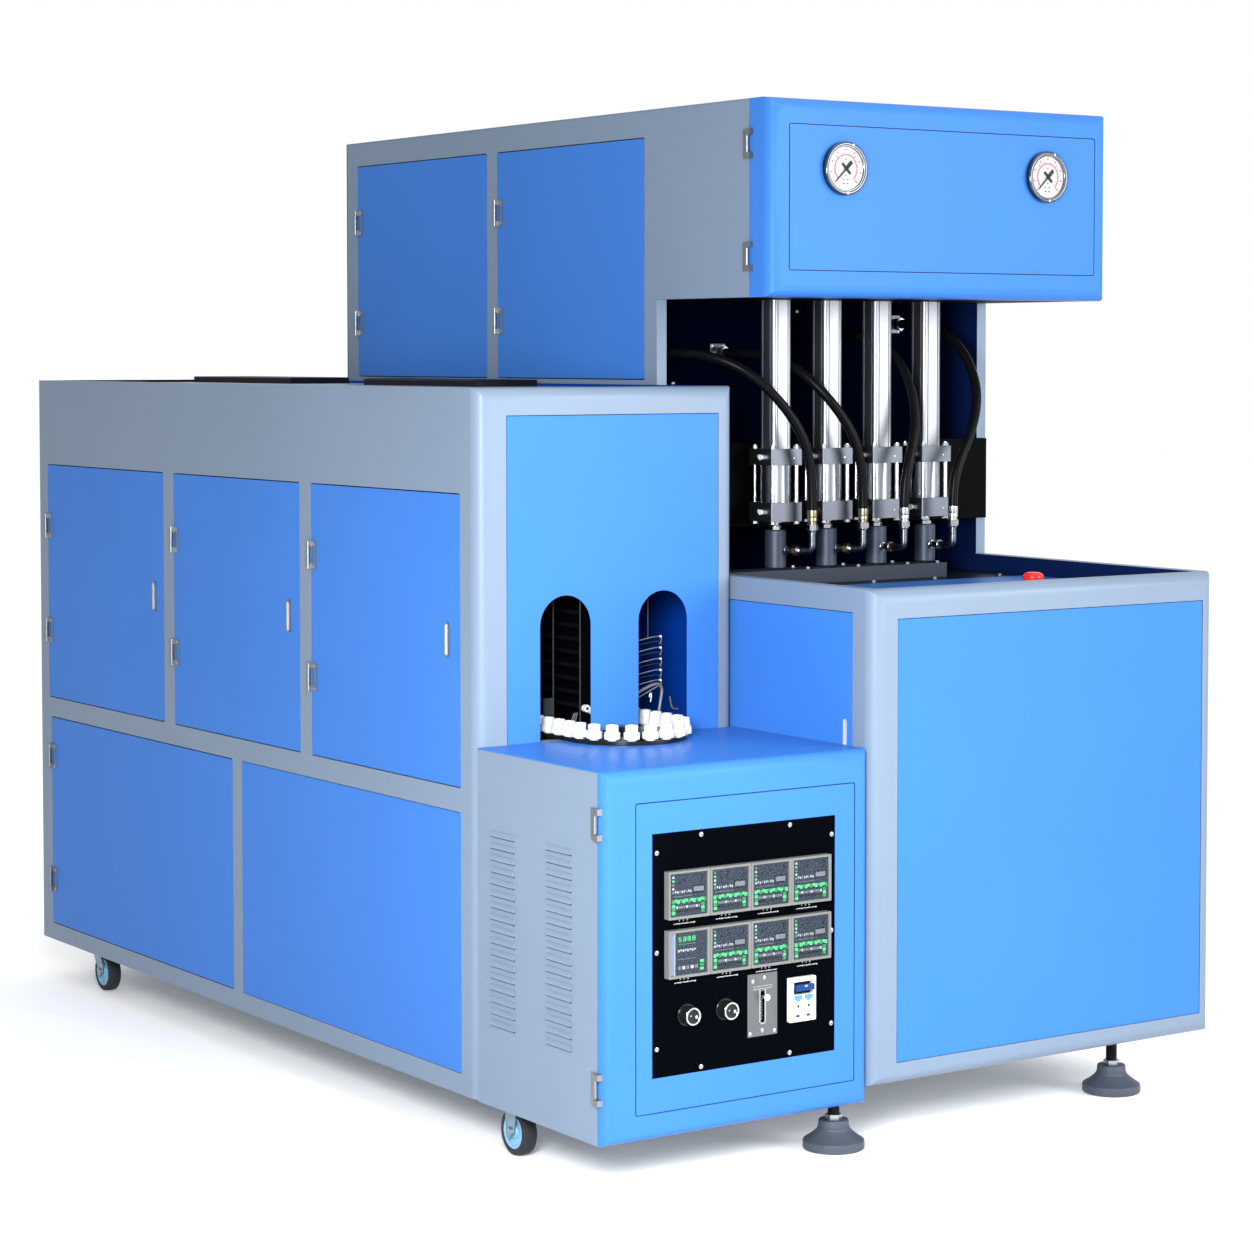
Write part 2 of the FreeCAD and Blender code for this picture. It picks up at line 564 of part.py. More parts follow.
def control_door():
    """The front of the control box: rounded all round, with an inset panel cut out for the plate."""
    z = (OVEN_BOTTOM, CONTROL_TOP)
    y = (CONTROL_DOOR_FRONT, CONTROL_DOOR_SEAM - CONTROL_DOOR_GAP)
    door = mitred_case((0, OVEN_WIDTH), y, z, CONTROL_DOOR_RADIUS - CONTROL_DOOR_GAP, True)
    pocket = block(grown((0, OVEN_WIDTH), -EDGE_RADIUS), (y[0] + 4 * SHEET, y[1] + 1),
                   grown(z, -EDGE_RADIUS))
    window = block(grown(PLATE_X, -PLATE_LAP), (y[0] - 1, y[1] + 1), grown(PLATE_Z, -PLATE_LAP))
    seat = block(grown(PLATE_X, REVEAL / 4), (y[0] - 1, y[0] + PLATE_THICKNESS),
                 grown(PLATE_Z, REVEAL / 4))
    door = door.cut([pocket, window, seat, inset_groove(CONTROL_INSET_X, CONTROL_INSET_Z, y[0])])
    eyes = [eye for z_hinge in CONTROL_HINGE_HEIGHTS
            for eye in front_eyes(0, CONTROL_PIN_Y, z_hinge)]
    return door.fuse(eyes).removeSplitter()


CONTROL_PIN_Y = CONTROL_DOOR_SEAM

# Instrument plate and what is on it
PLATE_X = (105.0, 532.5)
PLATE_Z = (216.0, 673.6)
PLATE_THICKNESS = 3.0
PLATE_LAP = 12.0
SCREW_RADIUS = 4.5
SCREW_PROUD = 2.0
SCREWS_X = (215.0, 423.0)
SCREWS_Z = (270.0, 451.0, 638.0)
SCREW_FROM_EDGE = 9.0
INSTRUMENT_X = 132.0
INSTRUMENT_WIDTH = 94.5
INSTRUMENT_PITCH = 95.5
INSTRUMENT_ROWS = ((512.0, 602.0), (401.0, 491.0))
INSTRUMENT_PROUD = 15.0
INSTRUMENT_BEZEL = 5.0
INSTRUMENT_RECESS = 4.0
INSTRUMENT_BODY = 60.0
KNOB_X = {"knob_left": 182.5, "knob_right": 270.8}
KNOB_Z = 327.5
KNOB_RADIUS = 18.0
KNOB_RING_RADIUS = 21.0
KNOB_RING = 3.0
KNOB_PROUD = 24.0
KNOB_POINTER = 1.0
KNOB_GAP = 0.3
SWITCH_PLATE_X = (323.0, 393.0)
SWITCH_PLATE_Z = (266.0, 386.0)
SWITCH_PLATE = 2.0
SWITCH_SLOT_WIDTH = 9.0
SWITCH_SLOT_Z = (292.0, 352.0)
SLIDER_Z = 342.0
SLIDER_TRAVEL = 40.0
SLIDER_RADIUS = 3.6
SLIDER_PROUD = 15.0
BREAKER_X = (417.0, 480.0)
BREAKER_Z = (284.0, 370.0)
BREAKER_PROUD = 12.0
TOGGLE_WIDTH = 44.0
TOGGLE_Z = 351.0
TOGGLE_HEIGHT = 17.0
TOGGLE_DEPTH = 9.0
SHAFT_CLEARANCE = 0.08


def plate_face():
    """The Y of the instrument plate's front face, which is flush with the door."""
    return CONTROL_DOOR_FRONT


def instrument_boxes():
    """The (x, z) spans of the eight controllers."""
    spans = []
    for z in INSTRUMENT_ROWS:
        for k in range(4):
            low = INSTRUMENT_X + k * INSTRUMENT_PITCH
            spans.append(((low, low + INSTRUMENT_WIDTH), z))
    return spans


def instrument_plate():
    """The black plate with its screws, its switch plate and the holes for what is on it."""
    front = plate_face()
    plate = block(PLATE_X, (front, front + PLATE_THICKNESS), PLATE_Z)
    cuts = [block(grown(x, -INSTRUMENT_BEZEL), (front - 1, front + 2 * PLATE_THICKNESS),
                  grown(z, -INSTRUMENT_BEZEL)) for x, z in instrument_boxes()]
    for x in KNOB_X.values():
        cuts.append(bar(KNOB_SHAFT_RADIUS + SHAFT_CLEARANCE, (x, front - 1, KNOB_Z),
                        (x, front + 2 * PLATE_THICKNESS, KNOB_Z)))
    half = SWITCH_SLOT_WIDTH / 2
    middle = sum(SWITCH_PLATE_X) / 2
    slot = block((middle - half, middle + half), (front - 2 * SWITCH_PLATE, front + 2 * PLATE_THICKNESS),
                 SWITCH_SLOT_Z)
    switch_plate = block(SWITCH_PLATE_X, (front - SWITCH_PLATE, front), SWITCH_PLATE_Z)
    heads = []
    edge_x = (PLATE_X[0] + SCREW_FROM_EDGE, PLATE_X[1] - SCREW_FROM_EDGE)
    edge_z = (PLATE_Z[0] + SCREW_FROM_EDGE, PLATE_Z[1] - SCREW_FROM_EDGE)
    places = [(x, z) for x in SCREWS_X for z in edge_z] + [(x, z) for x in edge_x for z in SCREWS_Z]
    for x, z in places:
        heads.append(bar(SCREW_RADIUS, (x, front - SCREW_PROUD, z), (x, front, z)))
    return plate.fuse([switch_plate] + heads).cut(cuts + [slot]).removeSplitter()


KNOB_SHAFT_RADIUS = 5.0


def controllers():
    """Eight panel instruments, each a bezel with a recessed face and a body behind the plate."""
    front = plate_face()
    cases = []
    for x, z in instrument_boxes():
        bezel = block(x, (front - INSTRUMENT_PROUD, front), z)
        face = block(grown(x, -INSTRUMENT_BEZEL),
                     (front - INSTRUMENT_PROUD - 1, front - INSTRUMENT_PROUD + INSTRUMENT_RECESS),
                     grown(z, -INSTRUMENT_BEZEL))
        body = block(grown(x, -INSTRUMENT_BEZEL - REVEAL / 4), (front, front + INSTRUMENT_BODY),
                     grown(z, -INSTRUMENT_BEZEL - REVEAL / 4))
        cases.append(bezel.cut(face).fuse(body))
    return cases


def knob(x):
    """A pointer knob with a ring, on its shaft through the plate."""
    front = plate_face()
    back = front - KNOB_GAP
    profile = [(0, 0), (KNOB_RING_RADIUS, 0), (KNOB_RING_RADIUS, KNOB_RING), (KNOB_RADIUS, KNOB_RING),
               (KNOB_RADIUS * 0.86, KNOB_PROUD), (0, KNOB_PROUD)]
    body = turned(profile, (x, back, KNOB_Z), V(0, -1, 0))
    shaft = bar(KNOB_SHAFT_RADIUS, (x, back, KNOB_Z), (x, front + 4 * PLATE_THICKNESS, KNOB_Z))
    pointer = block((x - 1.5, x + 1.5), (back - KNOB_PROUD - KNOB_POINTER, back - KNOB_PROUD + 2),
                    (KNOB_Z + KNOB_RADIUS * 0.25, KNOB_Z + KNOB_RADIUS * 0.8))
    return body.fuse([shaft, pointer]).removeSplitter()


def slider():
    """The lever that slides in the slot of the switch plate."""
    front = plate_face()
    middle = sum(SWITCH_PLATE_X) / 2
    stem = bar(SLIDER_RADIUS, (middle, front - SLIDER_PROUD, SLIDER_Z),
               (middle, front + 2 * PLATE_THICKNESS, SLIDER_Z))
    button = bar(SLIDER_RADIUS * 1.8, (middle, front - SLIDER_PROUD - 5, SLIDER_Z),
                 (middle, front - SLIDER_PROUD, SLIDER_Z))
    return stem.fuse(button)


def breaker():
    """The moulded breaker case, open at the toggle."""
    front = plate_face()
    case = front_slab(BREAKER_X, (front - BREAKER_PROUD, front), BREAKER_Z, 4)
    middle = sum(BREAKER_X) / 2
    half = TOGGLE_WIDTH / 2 + 1
    well = block((middle - half, middle + half), (front - BREAKER_PROUD - 1, front - 2),
                 (TOGGLE_Z - TOGGLE_HEIGHT / 2 - 6, TOGGLE_Z + TOGGLE_HEIGHT / 2 + 1))
    return case.cut(well)


def breaker_toggle():
    """The blue toggle, hinged along X inside the breaker."""
    front = plate_face()
    middle = sum(BREAKER_X) / 2
    half = TOGGLE_WIDTH / 2
    axis_y = front - BREAKER_PROUD / 2
    lever = block((middle - half, middle + half), (front - BREAKER_PROUD - TOGGLE_DEPTH, axis_y),
                  (TOGGLE_Z - TOGGLE_HEIGHT / 4, TOGGLE_Z + TOGGLE_HEIGHT / 4))
    hub = bar(TOGGLE_HEIGHT / 5, (middle - half, axis_y, TOGGLE_Z), (middle + half, axis_y, TOGGLE_Z))
    return lever.fuse(hub).removeSplitter()


# ---------------------------------------------------------------- blow unit: base
BASE_RADIUS = 30.0
BASE_PANEL_X = (682.0, 1502.0)
BASE_PANEL_Z = (172.0, 1047.0)
SIDE_PANEL_Y = (-392.0, 240.0)
SIDE_PANEL_Z = (200.0, 1058.0)
RIM_WIDTH = 30.0
TABLE_THICKNESS = 6.0
DECK_FRONT = 100.0


def base_frame():
    """The welded base: rounded front surround, both sides and the raised rim round the table."""
    case = mitred_case((BLOW_LEFT, BLOW_RIGHT), (BASE_FRONT, TOWER_FRONT), (BASE_BOTTOM, BASE_TOP),
                       BASE_RADIUS, True)
    hollow = block((BLOW_LEFT + RIM_WIDTH, BLOW_RIGHT - RIM_WIDTH),
                   (BASE_FRONT + RIM_WIDTH, TOWER_FRONT + 1), (BASE_BOTTOM - 1, BASE_TOP + 1))
    front_window = block(BASE_PANEL_X, (BASE_FRONT - 1, BASE_FRONT + RIM_WIDTH + 1), BASE_PANEL_Z)
    side_window = block((BLOW_LEFT - 1, BLOW_LEFT + RIM_WIDTH + 1), SIDE_PANEL_Y, SIDE_PANEL_Z)
    return case.cut([hollow, front_window, side_window])


def base_front_panel():
    """The blue front, with a flange behind the frame."""
    back = BASE_FRONT + RIM_WIDTH
    panel = block(grown(BASE_PANEL_X, -REVEAL / 2), (BASE_FRONT, back), grown(BASE_PANEL_Z, -REVEAL / 2))
    return panel.fuse(block(grown(BASE_PANEL_X, PANEL_LAP / 2), (back, back + SHEET),
                            grown(BASE_PANEL_Z, PANEL_LAP - REVEAL)))


def base_side_panel():
    """The blue panel in the left side of the base, with its recessed pull just above the shelf."""
    back = BLOW_LEFT + RIM_WIDTH
    skin = block((BLOW_LEFT, back), grown(SIDE_PANEL_Y, -REVEAL / 2), grown(SIDE_PANEL_Z, -REVEAL / 2))
    panel = skin.fuse(block((back, back + SHEET), grown(SIDE_PANEL_Y, PANEL_LAP),
                            (SIDE_PANEL_Z[0] - PANEL_LAP, TABLE_TOP - 2 * TABLE_THICKNESS)))
    cup = stadium((BLOW_LEFT - 1, BLOW_LEFT + PULL_DEPTH), SIDE_PANEL_Y[0] + PULL_WIDTH + 6,
                  (SIDE_PULL_Z - PULL_HEIGHT / 2, SIDE_PULL_Z + PULL_HEIGHT / 2), PULL_WIDTH / 2 - PULL_RIM)
    return panel.cut(cup)


SIDE_PULL_Z = 812.0


def table_top():
    """The table below the rim, with the stop button's collar, and the deck in the blow chamber."""
    x = (BLOW_LEFT + RIM_WIDTH, BLOW_RIGHT - RIM_WIDTH)
    z = (TABLE_TOP - TABLE_THICKNESS, TABLE_TOP)
    table = block(x, (BASE_FRONT + RIM_WIDTH, DECK_FRONT - REVEAL / 2), z)
    deck = block(x, (DECK_FRONT, CHAMBER_BACK), z)
    holes = [bar(NOZZLE_RADIUS + REVEAL / 2, (place, STATION_Y, z[0] - 1), (place, STATION_Y, z[1] + 1))
             for place in station_places()]
    return together([table, e_stop_collar(), deck.cut(holes)])


CHAMBER_BACK = 425.0


# ---------------------------------------------------------------- blow unit: tower and head
POST = 26.0
HEAD_DOOR_SEAM = -46.7
HEAD_SEAM_GAP = 1.5
HEAD_RADIUS = 26.0
HEAD_INSET_X = (667.0, 1498.6)
HEAD_INSET_Z = (HEAD_BOTTOM + 53.6, TOWER_TOP - 52.1)
HEAD_HINGE_HEIGHTS = tuple(HEAD_BOTTOM + share * (TOWER_TOP - HEAD_BOTTOM) for share in (0.2044, 0.7711))
HEAD_PIN_Y = HEAD_DOOR_SEAM
HEAD_FLOOR_THICKNESS = 4.0


def tower_side(x, openings):
    """One side of the tower and head, as one wall with door openings."""
    tower = block(x, (TOWER_FRONT, TOWER_BACK - SHEET), (BASE_BOTTOM, TOWER_TOP - SHEET))
    head = block(x, (HEAD_DOOR_SEAM, TOWER_FRONT), (HEAD_BOTTOM, TOWER_TOP - SHEET))
    cuts = [side_slab(grown(x, 1), opening[0:2], opening[2:4], DOOR_CORNER) for opening in openings]
    wall = tower.fuse(head).removeSplitter()
    return wall.cut(cuts) if cuts else wall


def tower_frame():
    """The left side with its two door openings above the preheater."""
    return tower_side((BLOW_LEFT, BLOW_LEFT + POST), list(TOWER_OPENINGS.values()))


def tower_rear_panels():
    """The right side, closed, in the same outline as the left one, and the rear sheet."""
    back = block((BLOW_LEFT, BLOW_RIGHT), (TOWER_BACK - SHEET, TOWER_BACK),
                 (BASE_BOTTOM, TOWER_TOP - SHEET))
    return together([tower_side((BLOW_RIGHT - POST, BLOW_RIGHT), []), back])


def tower_top_cover():
    return block((BLOW_LEFT, BLOW_RIGHT), (HEAD_DOOR_SEAM, TOWER_BACK), (TOWER_TOP - SHEET, TOWER_TOP))


def floor_pans():
    """The floor that the rear casters are bolted under, and the floor of the base and tower."""
    oven = block((FRAME_WALL, OVEN_WIDTH - SHEET), (EDGE_RADIUS, OVEN_DEPTH - SHEET),
                 (OVEN_FLOOR, OVEN_FLOOR + SHEET))
    front = block((BLOW_LEFT + RIM_WIDTH, BLOW_RIGHT - RIM_WIDTH), (BASE_FRONT + RIM_WIDTH, TOWER_FRONT),
                  (BASE_BOTTOM, BASE_BOTTOM + SHEET))
    back = block((BLOW_LEFT + POST, BLOW_RIGHT - POST), (TOWER_FRONT, TOWER_BACK - SHEET),
                 (BASE_BOTTOM, BASE_BOTTOM + SHEET))
    return together([oven, front.fuse(back).removeSplitter()])


def chamber_panel():
    """The black wall behind the blow chamber, from the table up to the head."""
    return block((BLOW_LEFT + POST, BLOW_RIGHT - POST), (CHAMBER_BACK, CHAMBER_BACK + SHEET),
                 (TABLE_TOP - TABLE_THICKNESS, HEAD_BOTTOM))


def station_places():
    return [STATION_X + k * STATION_PITCH for k in range(STATIONS)]


def head_floor():
    """The underside of the head, with a hole for each barrel."""
    floor = block((BLOW_LEFT + POST, BLOW_RIGHT - POST), (HEAD_DOOR_SEAM, CHAMBER_BACK + SHEET),
                  (HEAD_BOTTOM, HEAD_BOTTOM + HEAD_FLOOR_THICKNESS))
    half = BARREL / 2 + REVEAL / 4
    holes = [block((x - half, x + half), (STATION_Y - half, STATION_Y + half),
                   (HEAD_BOTTOM - 1, HEAD_BOTTOM + HEAD_FLOOR_THICKNESS + 1)) for x in station_places()]
    return floor.cut(holes)


def head_door():
    """The front of the head, rounded all round, with an inset panel that carries the gauges."""
    y = (HEAD_FRONT, HEAD_DOOR_SEAM - HEAD_SEAM_GAP)
    z = (HEAD_BOTTOM, TOWER_TOP)
    x = (BLOW_LEFT, BLOW_RIGHT)
    door = mitred_case(x, y, z, HEAD_RADIUS, True)
    pocket = block(grown(x, -EDGE_RADIUS), (HEAD_FRONT + 4 * SHEET, y[1] + 1), grown(z, -EDGE_RADIUS))
    cuts = [pocket, inset_groove(HEAD_INSET_X, HEAD_INSET_Z, HEAD_FRONT)]
    for gauge_x in GAUGE_X:
        cuts.append(bar(GAUGE_BODY_RADIUS + SHAFT_CLEARANCE, (gauge_x, HEAD_FRONT - 1, GAUGE_Z),
                        (gauge_x, HEAD_FRONT + 5 * SHEET, GAUGE_Z)))
    door = door.cut(cuts)
    eyes = [eye for z_hinge in HEAD_HINGE_HEIGHTS for eye in front_eyes(BLOW_LEFT, HEAD_PIN_Y, z_hinge)]
    return door.fuse(eyes).removeSplitter()


GAUGE_X = (806.0, 1355.0)
GAUGE_Z = HEAD_BOTTOM + 0.6523 * (TOWER_TOP - HEAD_BOTTOM)
GAUGE_RADIUS = 55.0
GAUGE_BEZEL = 6.0
GAUGE_PROUD = 14.0
GAUGE_DIAL_RECESS = 5.0
GAUGE_BODY_RADIUS = 44.0
GAUGE_BODY = 45.0
NEEDLE_RADIUS = 4.5
NEEDLE_LENGTH = 36.0
NEEDLE_TAIL = 10.0
NEEDLE_THICKNESS = 1.2
NEEDLE_GAP = 0.8


def gauge_cases():
    """Two pressure gauges: flanged case, bezel and recessed dial."""
    profile = [(0, 0), (GAUGE_RADIUS, 0), (GAUGE_RADIUS, GAUGE_PROUD),
               (GAUGE_RADIUS - GAUGE_BEZEL, GAUGE_PROUD),
               (GAUGE_RADIUS - GAUGE_BEZEL, GAUGE_PROUD - GAUGE_DIAL_RECESS),
               (0, GAUGE_PROUD - GAUGE_DIAL_RECESS)]
    cases = []
    for x in GAUGE_X:
        flange = turned(profile, (x, HEAD_FRONT, GAUGE_Z), V(0, -1, 0))
        body = bar(GAUGE_BODY_RADIUS, (x, HEAD_FRONT, GAUGE_Z), (x, HEAD_FRONT + GAUGE_BODY, GAUGE_Z))
        cases.append(flange.fuse(body).removeSplitter())
    return together(cases)


def gauge_needle(x):
    """A needle on its hub, pointing to the low end of the scale."""
    y = HEAD_FRONT - GAUGE_PROUD + GAUGE_DIAL_RECESS - NEEDLE_GAP
    hub = bar(NEEDLE_RADIUS, (x, y, GAUGE_Z), (x, y - 2 * NEEDLE_THICKNESS, GAUGE_Z))
    corners = [V(-1.6, 0, -NEEDLE_TAIL), V(1.6, 0, -NEEDLE_TAIL), V(0.5, 0, NEEDLE_LENGTH),
               V(-0.5, 0, NEEDLE_LENGTH), V(-1.6, 0, -NEEDLE_TAIL)]
    pointer = Part.Face(Part.makePolygon(corners)).extrude(V(0, -NEEDLE_THICKNESS, 0))
    pointer.rotate(V(0, 0, 0), V(0, 1, 0), -NEEDLE_REST_ANGLE)
    pointer.translate(V(x, y, GAUGE_Z))
    return hub.fuse(pointer).removeSplitter()


NEEDLE_REST_ANGLE = 135.0

# ---------------------------------------------------------------- blow stations
BARREL = 50.0
BARREL_CORNER = 8.0
BARREL_GROOVE = 2.0
BARREL_GROOVE_AT = 13.5
BARREL_HEAD = 21.0
BARREL_BOTTOM = 1360.0
BARREL_TOP = TOWER_TOP - 123.5
CAP = 84.0
CAP_CORNER = 4.0
UPPER_CAP = (1325.0, 1360.0)
LOWER_CAP = (1204.0, 1245.0)
SEAL_RADIUS = 33.0
TIE_ROD_RADIUS = 4.5
TIE_ROD_INSET = 10.0
TIE_NUT_FLATS = 12.0
TIE_NUT_HEIGHT = 6.0
PORT_FORWARD = 14.0
PORT_BASE = 7.0
PORT_BASE_LENGTH = 5.0
ROD_RADIUS = 8.0
ROD_CLEARANCE = 0.08
NOZZLE_TOP = 1185.0
NOZZLE_BOTTOM = 1101.0
NOZZLE_RADIUS = 23.0
NUT_FLATS = 24.0
NUT_HEIGHT = 9.0
PORT_Z = 1141.0
STRETCH_ROD_RADIUS = 5.0


def stretch_cylinders():
    """Four long barrels of square extruded profile: rounded corners and sensor grooves below the head."""
    barrels = []
    half = BARREL / 2
    for x in station_places():
        barrel = block((x - half, x + half), (STATION_Y - half, STATION_Y + half),
                       (BARREL_BOTTOM, BARREL_TOP))
        barrel = barrel.makeFillet(BARREL_CORNER, edges_along(barrel, V(0, 0, 1), lambda p: True))
        grooves = []
        for along in (-BARREL_GROOVE_AT, BARREL_GROOVE_AT):
            for i, j in ((along, -half), (along, half), (-half, along), (half, along)):
                grooves.append(bar(BARREL_GROOVE, (x + i, STATION_Y + j, BARREL_BOTTOM - 1),
                                   (x + i, STATION_Y + j, BARREL_TOP - BARREL_HEAD)))
        bore = bar(STRETCH_PISTON_RADIUS, (x, STATION_Y, BARREL_BOTTOM - 1),
                   (x, STATION_Y, BARREL_TOP - CAP / 4))
        barrels.append(barrel.cut(grooves + [bore]))
    return together(barrels)


STRETCH_PISTON_RADIUS = 20.0
STRETCH_PISTON_HEIGHT = 20.0
STRETCH_TRAVEL = 250.0


def square_cap(x, z):
    """An end cap with rounded corners."""
    half = CAP / 2
    cap = block((x - half, x + half), (STATION_Y - half, STATION_Y + half), z)
    return cap.makeFillet(CAP_CORNER, edges_along(cap, V(0, 0, 1), lambda p: True))


def cylinder_port(x, cap):
    """A push-in air fitting on the left face of an end cap: hexagon, neck and release ring."""
    z = sum(cap) / 2
    face = x - CAP / 2
    y = STATION_Y - PORT_FORWARD
    way = V(-1, 0, 0)
    base = bar(PORT_BASE, (face, y, z), (face - PORT_BASE_LENGTH, y, z))
    neck = bar(0.7 * PORT_BASE, (face, y, z), (face - 2.2 * PORT_BASE_LENGTH, y, z))
    ring = bar(0.85 * PORT_BASE, V(face, y, z) + way * (1.8 * PORT_BASE_LENGTH),
               V(face, y, z) + way * (2.2 * PORT_BASE_LENGTH))
    return base.fuse([neck, ring])


def seal_cylinders():
    """Four short tie-rod cylinders: barrel, two square caps and four tie rods each."""
    cylinders = []
    reach = CAP / 2 - TIE_ROD_INSET
    for x in station_places():
        barrel = bar(SEAL_RADIUS, (x, STATION_Y, LOWER_CAP[1]), (x, STATION_Y, UPPER_CAP[0]))
        rods = [bar(TIE_ROD_RADIUS, (x + i * reach, STATION_Y + j * reach, LOWER_CAP[1]),
                    (x + i * reach, STATION_Y + j * reach, UPPER_CAP[0]))
                for i in (-1, 1) for j in (-1, 1)]
        nuts = [hexagon(TIE_NUT_FLATS, low, low + TIE_NUT_HEIGHT, x + i * reach, STATION_Y + j * reach)
                for low in (UPPER_CAP[1], LOWER_CAP[0] - TIE_NUT_HEIGHT)
                for i in (-1, 1) for j in (-1, 1)]
        ports = [cylinder_port(x, z) for z in (UPPER_CAP, LOWER_CAP)]
        body = square_cap(x, UPPER_CAP).fuse([square_cap(x, LOWER_CAP), barrel] + rods + nuts + ports)
        bore = bar(ROD_RADIUS + ROD_CLEARANCE, (x, STATION_Y, LOWER_CAP[0] - 1),
                   (x, STATION_Y, UPPER_CAP[1] + 1))
        cylinders.append(body.cut(bore).removeSplitter())
    return together(cylinders)


# Port fittings: how far each stands from its nozzle, as (right, forward) distances
PORT_WAYS = ((40.0, 78.0), (40.0, 78.0), (0.0, 97.0), (0.0, 97.0))
PORT_RADIUS = 7.0
PORT_HEX = 19.0
PORT_HEX_LENGTH = 12.0
FERRULE_RADIUS = 11.0
FERRULE_SPAN = (1188.0, 1229.0)
ELBOW_RADIUS = 26.0


def nozzle(index):
    """A blow nozzle: turned block, hollow rod with nut, and the port fitting with its elbow."""
    x = station_places()[index]
    block_body = bar(NOZZLE_RADIUS, (x, STATION_Y, NOZZLE_BOTTOM), (x, STATION_Y, NOZZLE_TOP))
    block_body = block_body.makeChamfer(1.5, [e for e in block_body.Edges if e.Length > 2 * NOZZLE_RADIUS
                                              and len(e.Vertexes) == 1])
    rod = bar(ROD_RADIUS, (x, STATION_Y, NOZZLE_TOP - 5), (x, STATION_Y, ROD_TOP))
    nut = hexagon(NUT_FLATS, NOZZLE_TOP, NOZZLE_TOP + NUT_HEIGHT, x, STATION_Y)
    bore = bar(STRETCH_ROD_RADIUS + ROD_CLEARANCE, (x, STATION_Y, NOZZLE_BOTTOM - 1),
               (x, STATION_Y, ROD_TOP + 1))
    right, forward = PORT_WAYS[index]
    reach = math.hypot(right, forward)
    way = V(right / reach, -forward / reach, 0)
    centre = V(x, STATION_Y, PORT_Z)
    turn = reach - ELBOW_RADIUS
    start = centre + way * (NOZZLE_RADIUS * 0.8)
    corner = centre + way * turn
    middle = centre + way * (turn + ELBOW_RADIUS * math.sin(math.pi / 4)) \
        + V(0, 0, ELBOW_RADIUS * (1 - math.cos(math.pi / 4)))
    top = centre + way * reach + V(0, 0, ELBOW_RADIUS)
    high = V(top.x, top.y, FERRULE_SPAN[0])
    path = Part.Wire([Part.LineSegment(start, corner).toShape(),
                      Part.Arc(corner, middle, top).toShape(),
                      Part.LineSegment(top, high).toShape()])
    ring = Part.Wire(Part.Circle(start, way, PORT_RADIUS).toShape())
    pipe = path.makePipeShell([ring], True, False)
    hexes = [bar(PORT_HEX / 2, centre + way * (NOZZLE_RADIUS * 0.9),
                 centre + way * (NOZZLE_RADIUS + PORT_HEX_LENGTH / 2)),
             bar(PORT_HEX / 2 + 1, centre + way * (turn - PORT_HEX_LENGTH), centre + way * turn),
             hexagon(PORT_HEX + 3, FERRULE_SPAN[0], FERRULE_SPAN[0] + PORT_HEX_LENGTH, high.x, high.y),
             bar(FERRULE_RADIUS, (high.x, high.y, FERRULE_SPAN[0] + PORT_HEX_LENGTH),
                 (high.x, high.y, FERRULE_SPAN[1]))]
    return block_body.fuse([rod, nut, pipe] + hexes).cut(bore).removeSplitter()


ROD_TOP = 1300.0
NOZZLE_TRAVEL = 30.0


def stretch_rods():
    """The four stretching rods with their pistons, inside the cylinders and nozzles."""
    rods = []
    top = BARREL_TOP - CAP / 4 - STRETCH_PISTON_HEIGHT - REVEAL
    for x in station_places():
        piston = bar(STRETCH_PISTON_RADIUS - ROD_CLEARANCE, (x, STATION_Y, top),
                     (x, STATION_Y, top + STRETCH_PISTON_HEIGHT))
        rod = bar(STRETCH_ROD_RADIUS, (x, STATION_Y, NOZZLE_BOTTOM + REVEAL), (x, STATION_Y, top))
        rods.append(rod.fuse(piston))
    return together(rods)


NOZZLE_BAR_X = (676.0, 1326.0)
NOZZLE_BAR_Y = (166.0, 240.0)
NOZZLE_BAR_Z = (TABLE_TOP, 1099.0)


def nozzle_bar():
    """The bar that the nozzles pass through, on two feet at its ends."""
    beam = block(NOZZLE_BAR_X, NOZZLE_BAR_Y, NOZZLE_BAR_Z)
    holes = [bar(NOZZLE_RADIUS + REVEAL / 2, (x, STATION_Y, NOZZLE_BAR_Z[0] - 1),
                 (x, STATION_Y, NOZZLE_BAR_Z[1] + 1)) for x in station_places()]
    return beam.cut(holes)


BEAM_Y = (250.0, 290.0)
BEAM_Z = (1190.0, 1372.0)


def cylinder_beam():
    """The black beam behind the stations that carries the cylinders, with arms to both sides."""
    beam = block((BLOW_LEFT + POST, BLOW_RIGHT - POST), BEAM_Y, BEAM_Z)
    pads = [block((x - CAP / 3, x + CAP / 3), (STATION_Y + CAP / 2, BEAM_Y[0]), z)
            for x in station_places() for z in (UPPER_CAP, LOWER_CAP)]
    return beam.fuse(pads).removeSplitter()


# ---------------------------------------------------------------- hoses
HOSE_RADIUS = 10.5
